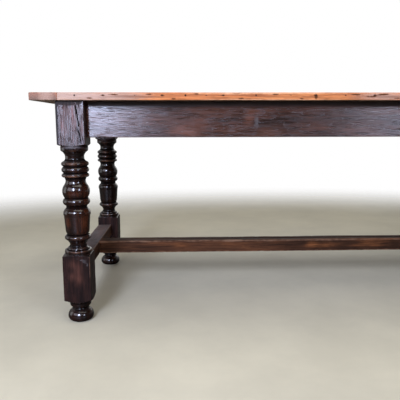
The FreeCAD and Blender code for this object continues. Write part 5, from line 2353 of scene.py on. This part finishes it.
@dataclass
class Studio:
    """Pale floor, soft light and the camera at the photograph's angle."""

    camera_place: Triple = (-0.5818, -1.9438, 0.6704)
    yaw: float = math.radians(1.94)
    pitch: float = math.radians(8.99)
    roll: float = math.radians(-0.1)
    lens: float = 43.09
    sensor: float = 36.0
    farthest: float = 200.0
    floor_colour: Colour = (0.63, 0.58, 0.43)
    floor_shade: float = 0.86
    floor_clouds: float = 2.2
    floor_roughness: float = 0.55
    floor_squeeze: Triple = (0.7, 1, 1)
    floor_dim: float = 0.07
    floor_reach: float = 9.0
    floor_fade: float = 3.2
    sky: float = 0.1
    room: float = 0.05
    backdrop: float = 0.3
    backdrop_blend: float = 0.35
    lamps: tuple[Softbox, ...] = LAMPS

    def build(self) -> None:
        """Set up the studio."""
        self.build_world()
        self.build_floor()
        for lamp in self.lamps:
            lamp.build()
        self.build_camera()
        bpy.context.scene.view_settings.view_transform = "Standard"

    def build_world(self) -> None:
        """Light the scene evenly from all round, with a white background."""
        world = bpy.data.worlds.new("studio")
        bpy.context.scene.world = world
        world.use_nodes = True
        nodes = Nodes(world.node_tree)
        back = world.node_tree.nodes["Background"]
        path = nodes.add("ShaderNodeLightPath").outputs
        way = nodes.add("ShaderNodeSeparateXYZ")
        nodes.feed(way.inputs[0], nodes.add("ShaderNodeTexCoord").outputs["Generated"])
        mirrored = nodes.sum("MAXIMUM", path["Is Glossy Ray"], path["Is Transmission Ray"])
        blend = self.backdrop_blend
        backdrop = nodes.remap(way.outputs["Y"], -blend, blend, self.room, self.backdrop)
        shine = nodes.remap(mirrored, 0.0, 1.0, self.sky, backdrop)
        strength = nodes.remap(path["Is Camera Ray"], 0.0, 1.0, shine, 1.0)
        nodes.fill(back, Strength=strength, Color=(1.0, 1.0, 1.0, 1.0))

    def build_floor(self) -> None:
        """Lay the pale floor, which fades into the white background and is painted darker in
        reflections.
        """
        reach = self.floor_reach
        corners = [(-reach, -reach, 0), (reach, -reach, 0), (reach, reach, 0), (-reach, reach, 0)]
        mesh = bpy.data.meshes.new("floor")
        mesh.from_pydata(corners, [], [(0, 1, 2, 3)])
        material, nodes, shader = start_material("pale_floor")
        place = nodes.add("ShaderNodeTexCoord").outputs["Object"]
        clouds = nodes.noise(place, self.floor_clouds, detail=7.0, rough=0.62)
        clouds = nodes.remap(clouds, *MIDDLE_BAND)
        darker = tuple(self.floor_shade * part for part in self.floor_colour)
        # Painted reflection: the floor's colour is dimmed where glossy rays see it.
        mirrored = nodes.add("ShaderNodeLightPath").outputs["Is Glossy Ray"]
        dim = tuple(self.floor_dim * part for part in self.floor_colour)
        colour = nodes.mix(mirrored, nodes.mix(clouds, darker, self.floor_colour), dim)
        far = nodes.add("ShaderNodeVectorMath", operation="LENGTH")
        nodes.feed(far.inputs[0], nodes.stretch(place, self.floor_squeeze))
        fade = (0.5 * self.floor_fade, self.floor_fade)
        seen = nodes.remap(far.outputs["Value"], *fade, 1.0, 0.0)
        nodes.fill(shader, Base_Color=colour, Roughness=self.floor_roughness, Alpha=seen)
        mesh.materials.append(material)
        floor = show("floor", mesh)

    def build_camera(self) -> None:
        """Set the camera where the photograph was taken."""
        ahead = Vector(
            (
                math.sin(self.yaw) * math.cos(self.pitch),
                math.cos(self.yaw) * math.cos(self.pitch),
                -math.sin(self.pitch),
            )
        )
        right = Vector((math.cos(self.yaw), -math.sin(self.yaw), 0.0))
        up = right.cross(ahead)
        tilted = math.cos(self.roll) * right + math.sin(self.roll) * up
        upright = tilted.cross(ahead)
        data = bpy.data.cameras.new("camera")
        data.lens = self.lens
        data.sensor_width = self.sensor
        data.clip_end = self.farthest
        camera = show("camera", data)
        turn = Matrix((tilted, upright, -ahead)).transposed()
        camera.matrix_world = Matrix.Translation(Vector(self.camera_place)) @ turn.to_4x4()
        bpy.context.scene.camera = camera


BLOCK_FACE = -TableSizes.leg_square / 2
SHALLOW = 8.0
LEG_MARKS = (
    *face_marks(
        Tint.GLOW, BLOCK_FACE, MARK_DEPTH,
        (9, 655, 4, 30, 1.1), (14, 622, 3.5, 26, 0.9), (8, 580, 3.5, 24, 1.0),
        (-12, 600, 4, 30, 0.6), (-26, 618, 5, 32, 0.9), (38, 600, 4, 40, 0.6),
        (-15, 158, 14, 20, 1.05), (7, 140, 11, 20, 0.9), (-13, 116, 12, 18, 1.2),
        (9, 106, 12, 16, 1.0), (-6, 86, 8, 11, 0.5),
    ),
    Mark(Tint.GLOW, (-22.0, -36.0, 300.0), (14.0, 24.0, 26.0), 0.6),
    Mark(Tint.GLOW, (26.0, -32.0, 296.0), (8.0, 20.0, 24.0), 0.5),
    # Painted reflection: warm light on the lower half of the bulb, where it mirrors the floor.
    Mark(Tint.GLOW, (6.0, -44.0, 397.0), (30.0, 30.0, 9.0), 0.38),
    *face_marks(
        Tint.WEAR, BLOCK_FACE, SHALLOW,
        # The first row paints shade on the left arris of the upper block; the second marks wear on
        # the lower block's top.
        (-46.5, 630, 7, 120, -2.6), (8, 183, 40, 2.5, 0.5),
    ),
    Mark(Tint.WEAR, (-BLOCK_FACE, BLOCK_FACE, 150.0), (4.0, 4.0, 45.0), 0.5),
    # Painted shadow: a dark band across the top of the upper block, under the overhang of the top.
    Mark(Tint.WEAR, (0.0, BLOCK_FACE, 696.0), (60.0, MARK_DEPTH, 16.0), -1.5),
    *face_marks(
        Tint.STAIN, BLOCK_FACE, MARK_DEPTH,
        (-36, 110, 13, 90, 0.5), (32, 80, 10, 60, 0.45), (-8, 60, 22, 18, 0.5),
        (-33, 590, 5, 30, 0.6), (-18, 575, 4, 18, 0.6), (-3, 640, 2, 45, 0.55),
        (-20, 660, 2, 30, 0.5), (20, 590, 2.5, 25, 0.55), (-29, 645, 2.5, 40, 0.6),
        (-11, 612, 2.5, 34, 0.6), (37, 575, 3.5, 30, 0.75), (34, 650, 2.5, 34, 0.55),
    ),
    *face_marks(
        Tint.SCUFF_AND_SHEEN, BLOCK_FACE, SHALLOW,
        (27, 168, 14, 12, 0.62), (3, 177, 7, 3.5, 0.7), (16, 174, 6, 3, 0.45),
        (37, 154, 5, 8, 0.55),
    ),
    Mark(Tint.SCUFF_AND_SHEEN, (0.0, -40.0, 547.0), (60.0, 36.0, 9.0), 0.72),
)
FRONT_CRACK = ((17, 690), (19, 672), (23, 650), (28, 622))
FRONT_CRACK += ((24.5, 603), (28.5, 590), (31, 570), (32, 558))
CRACKS = {
    "front_left": (
        Crack(Axis.Y, -1, FRONT_CRACK, 6.0, 12.0),
        Crack(Axis.X, 1, ((-8, 60), (-6, 100), (-9, 140), (-6, 173)), 1.6),
        Crack(Axis.X, -1, ((14, 610), (11, 650), (13, 690)), 1.2),
    ),
    "front_right": (Crack(Axis.Y, -1, ((-12, 590), (-9, 630), (-13, 680)), 1.3),),
    "back_left": (Crack(Axis.Y, 1, ((10, 600), (14, 640), (12, 690)), 1.4),),
    "back_right": (Crack(Axis.X, 1, ((6, 50), (3, 90), (5, 130)), 1.3),),
}
SEED_STEP = 7


def make_legs(sizes: TableSizes, finishes: Finishes) -> list[TurnedLeg]:
    """List the four legs with their own cracks.

    Args:
        sizes: The shared sizes.
        finishes: The materials of the table.

    Returns:
        The legs, not yet built.
    """
    sides, ends = (("front", 1), ("back", -1)), (("left", 1), ("right", -1))
    legs = []
    for (side, inward), (end, along) in itertools.product(sides, ends):
        label = f"{side}_{end}"
        marks = tuple(mark.turned(inward) for mark in LEG_MARKS)
        seed = TurnedLeg.seed + SEED_STEP * len(legs)
        legs.append(
            TurnedLeg(label, along, inward, sizes, finishes, CRACKS[label], marks, seed=seed)
        )
    return legs


def dress_hidden_nodes(finishes: Finishes) -> None:
    """Give the CAD nodes that stay their finish.

    Args:
        finishes: The materials of the table.
    """
    for number in (1, 2, 3):
        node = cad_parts[f"loose_tongue_{number}"]
        node.data.materials.clear()
        node.data.materials.append(finishes.inner)
        LOG.info("loose_tongue_%d keeps its solid", number)


def main() -> None:
    """Build the table and its studio."""
    logging.basicConfig(level=logging.INFO, format="%(message)s")
    sizes = TableSizes()
    finishes = Finishes()
    for leg in make_legs(sizes, finishes):
        leg.build()
    Underframe(sizes, finishes).build()
    PlankTop(sizes, finishes).build()
    SmallPieces(sizes, finishes).build()
    dress_hidden_nodes(finishes)
    Studio().build()


if __name__ == "__main__":
    main()
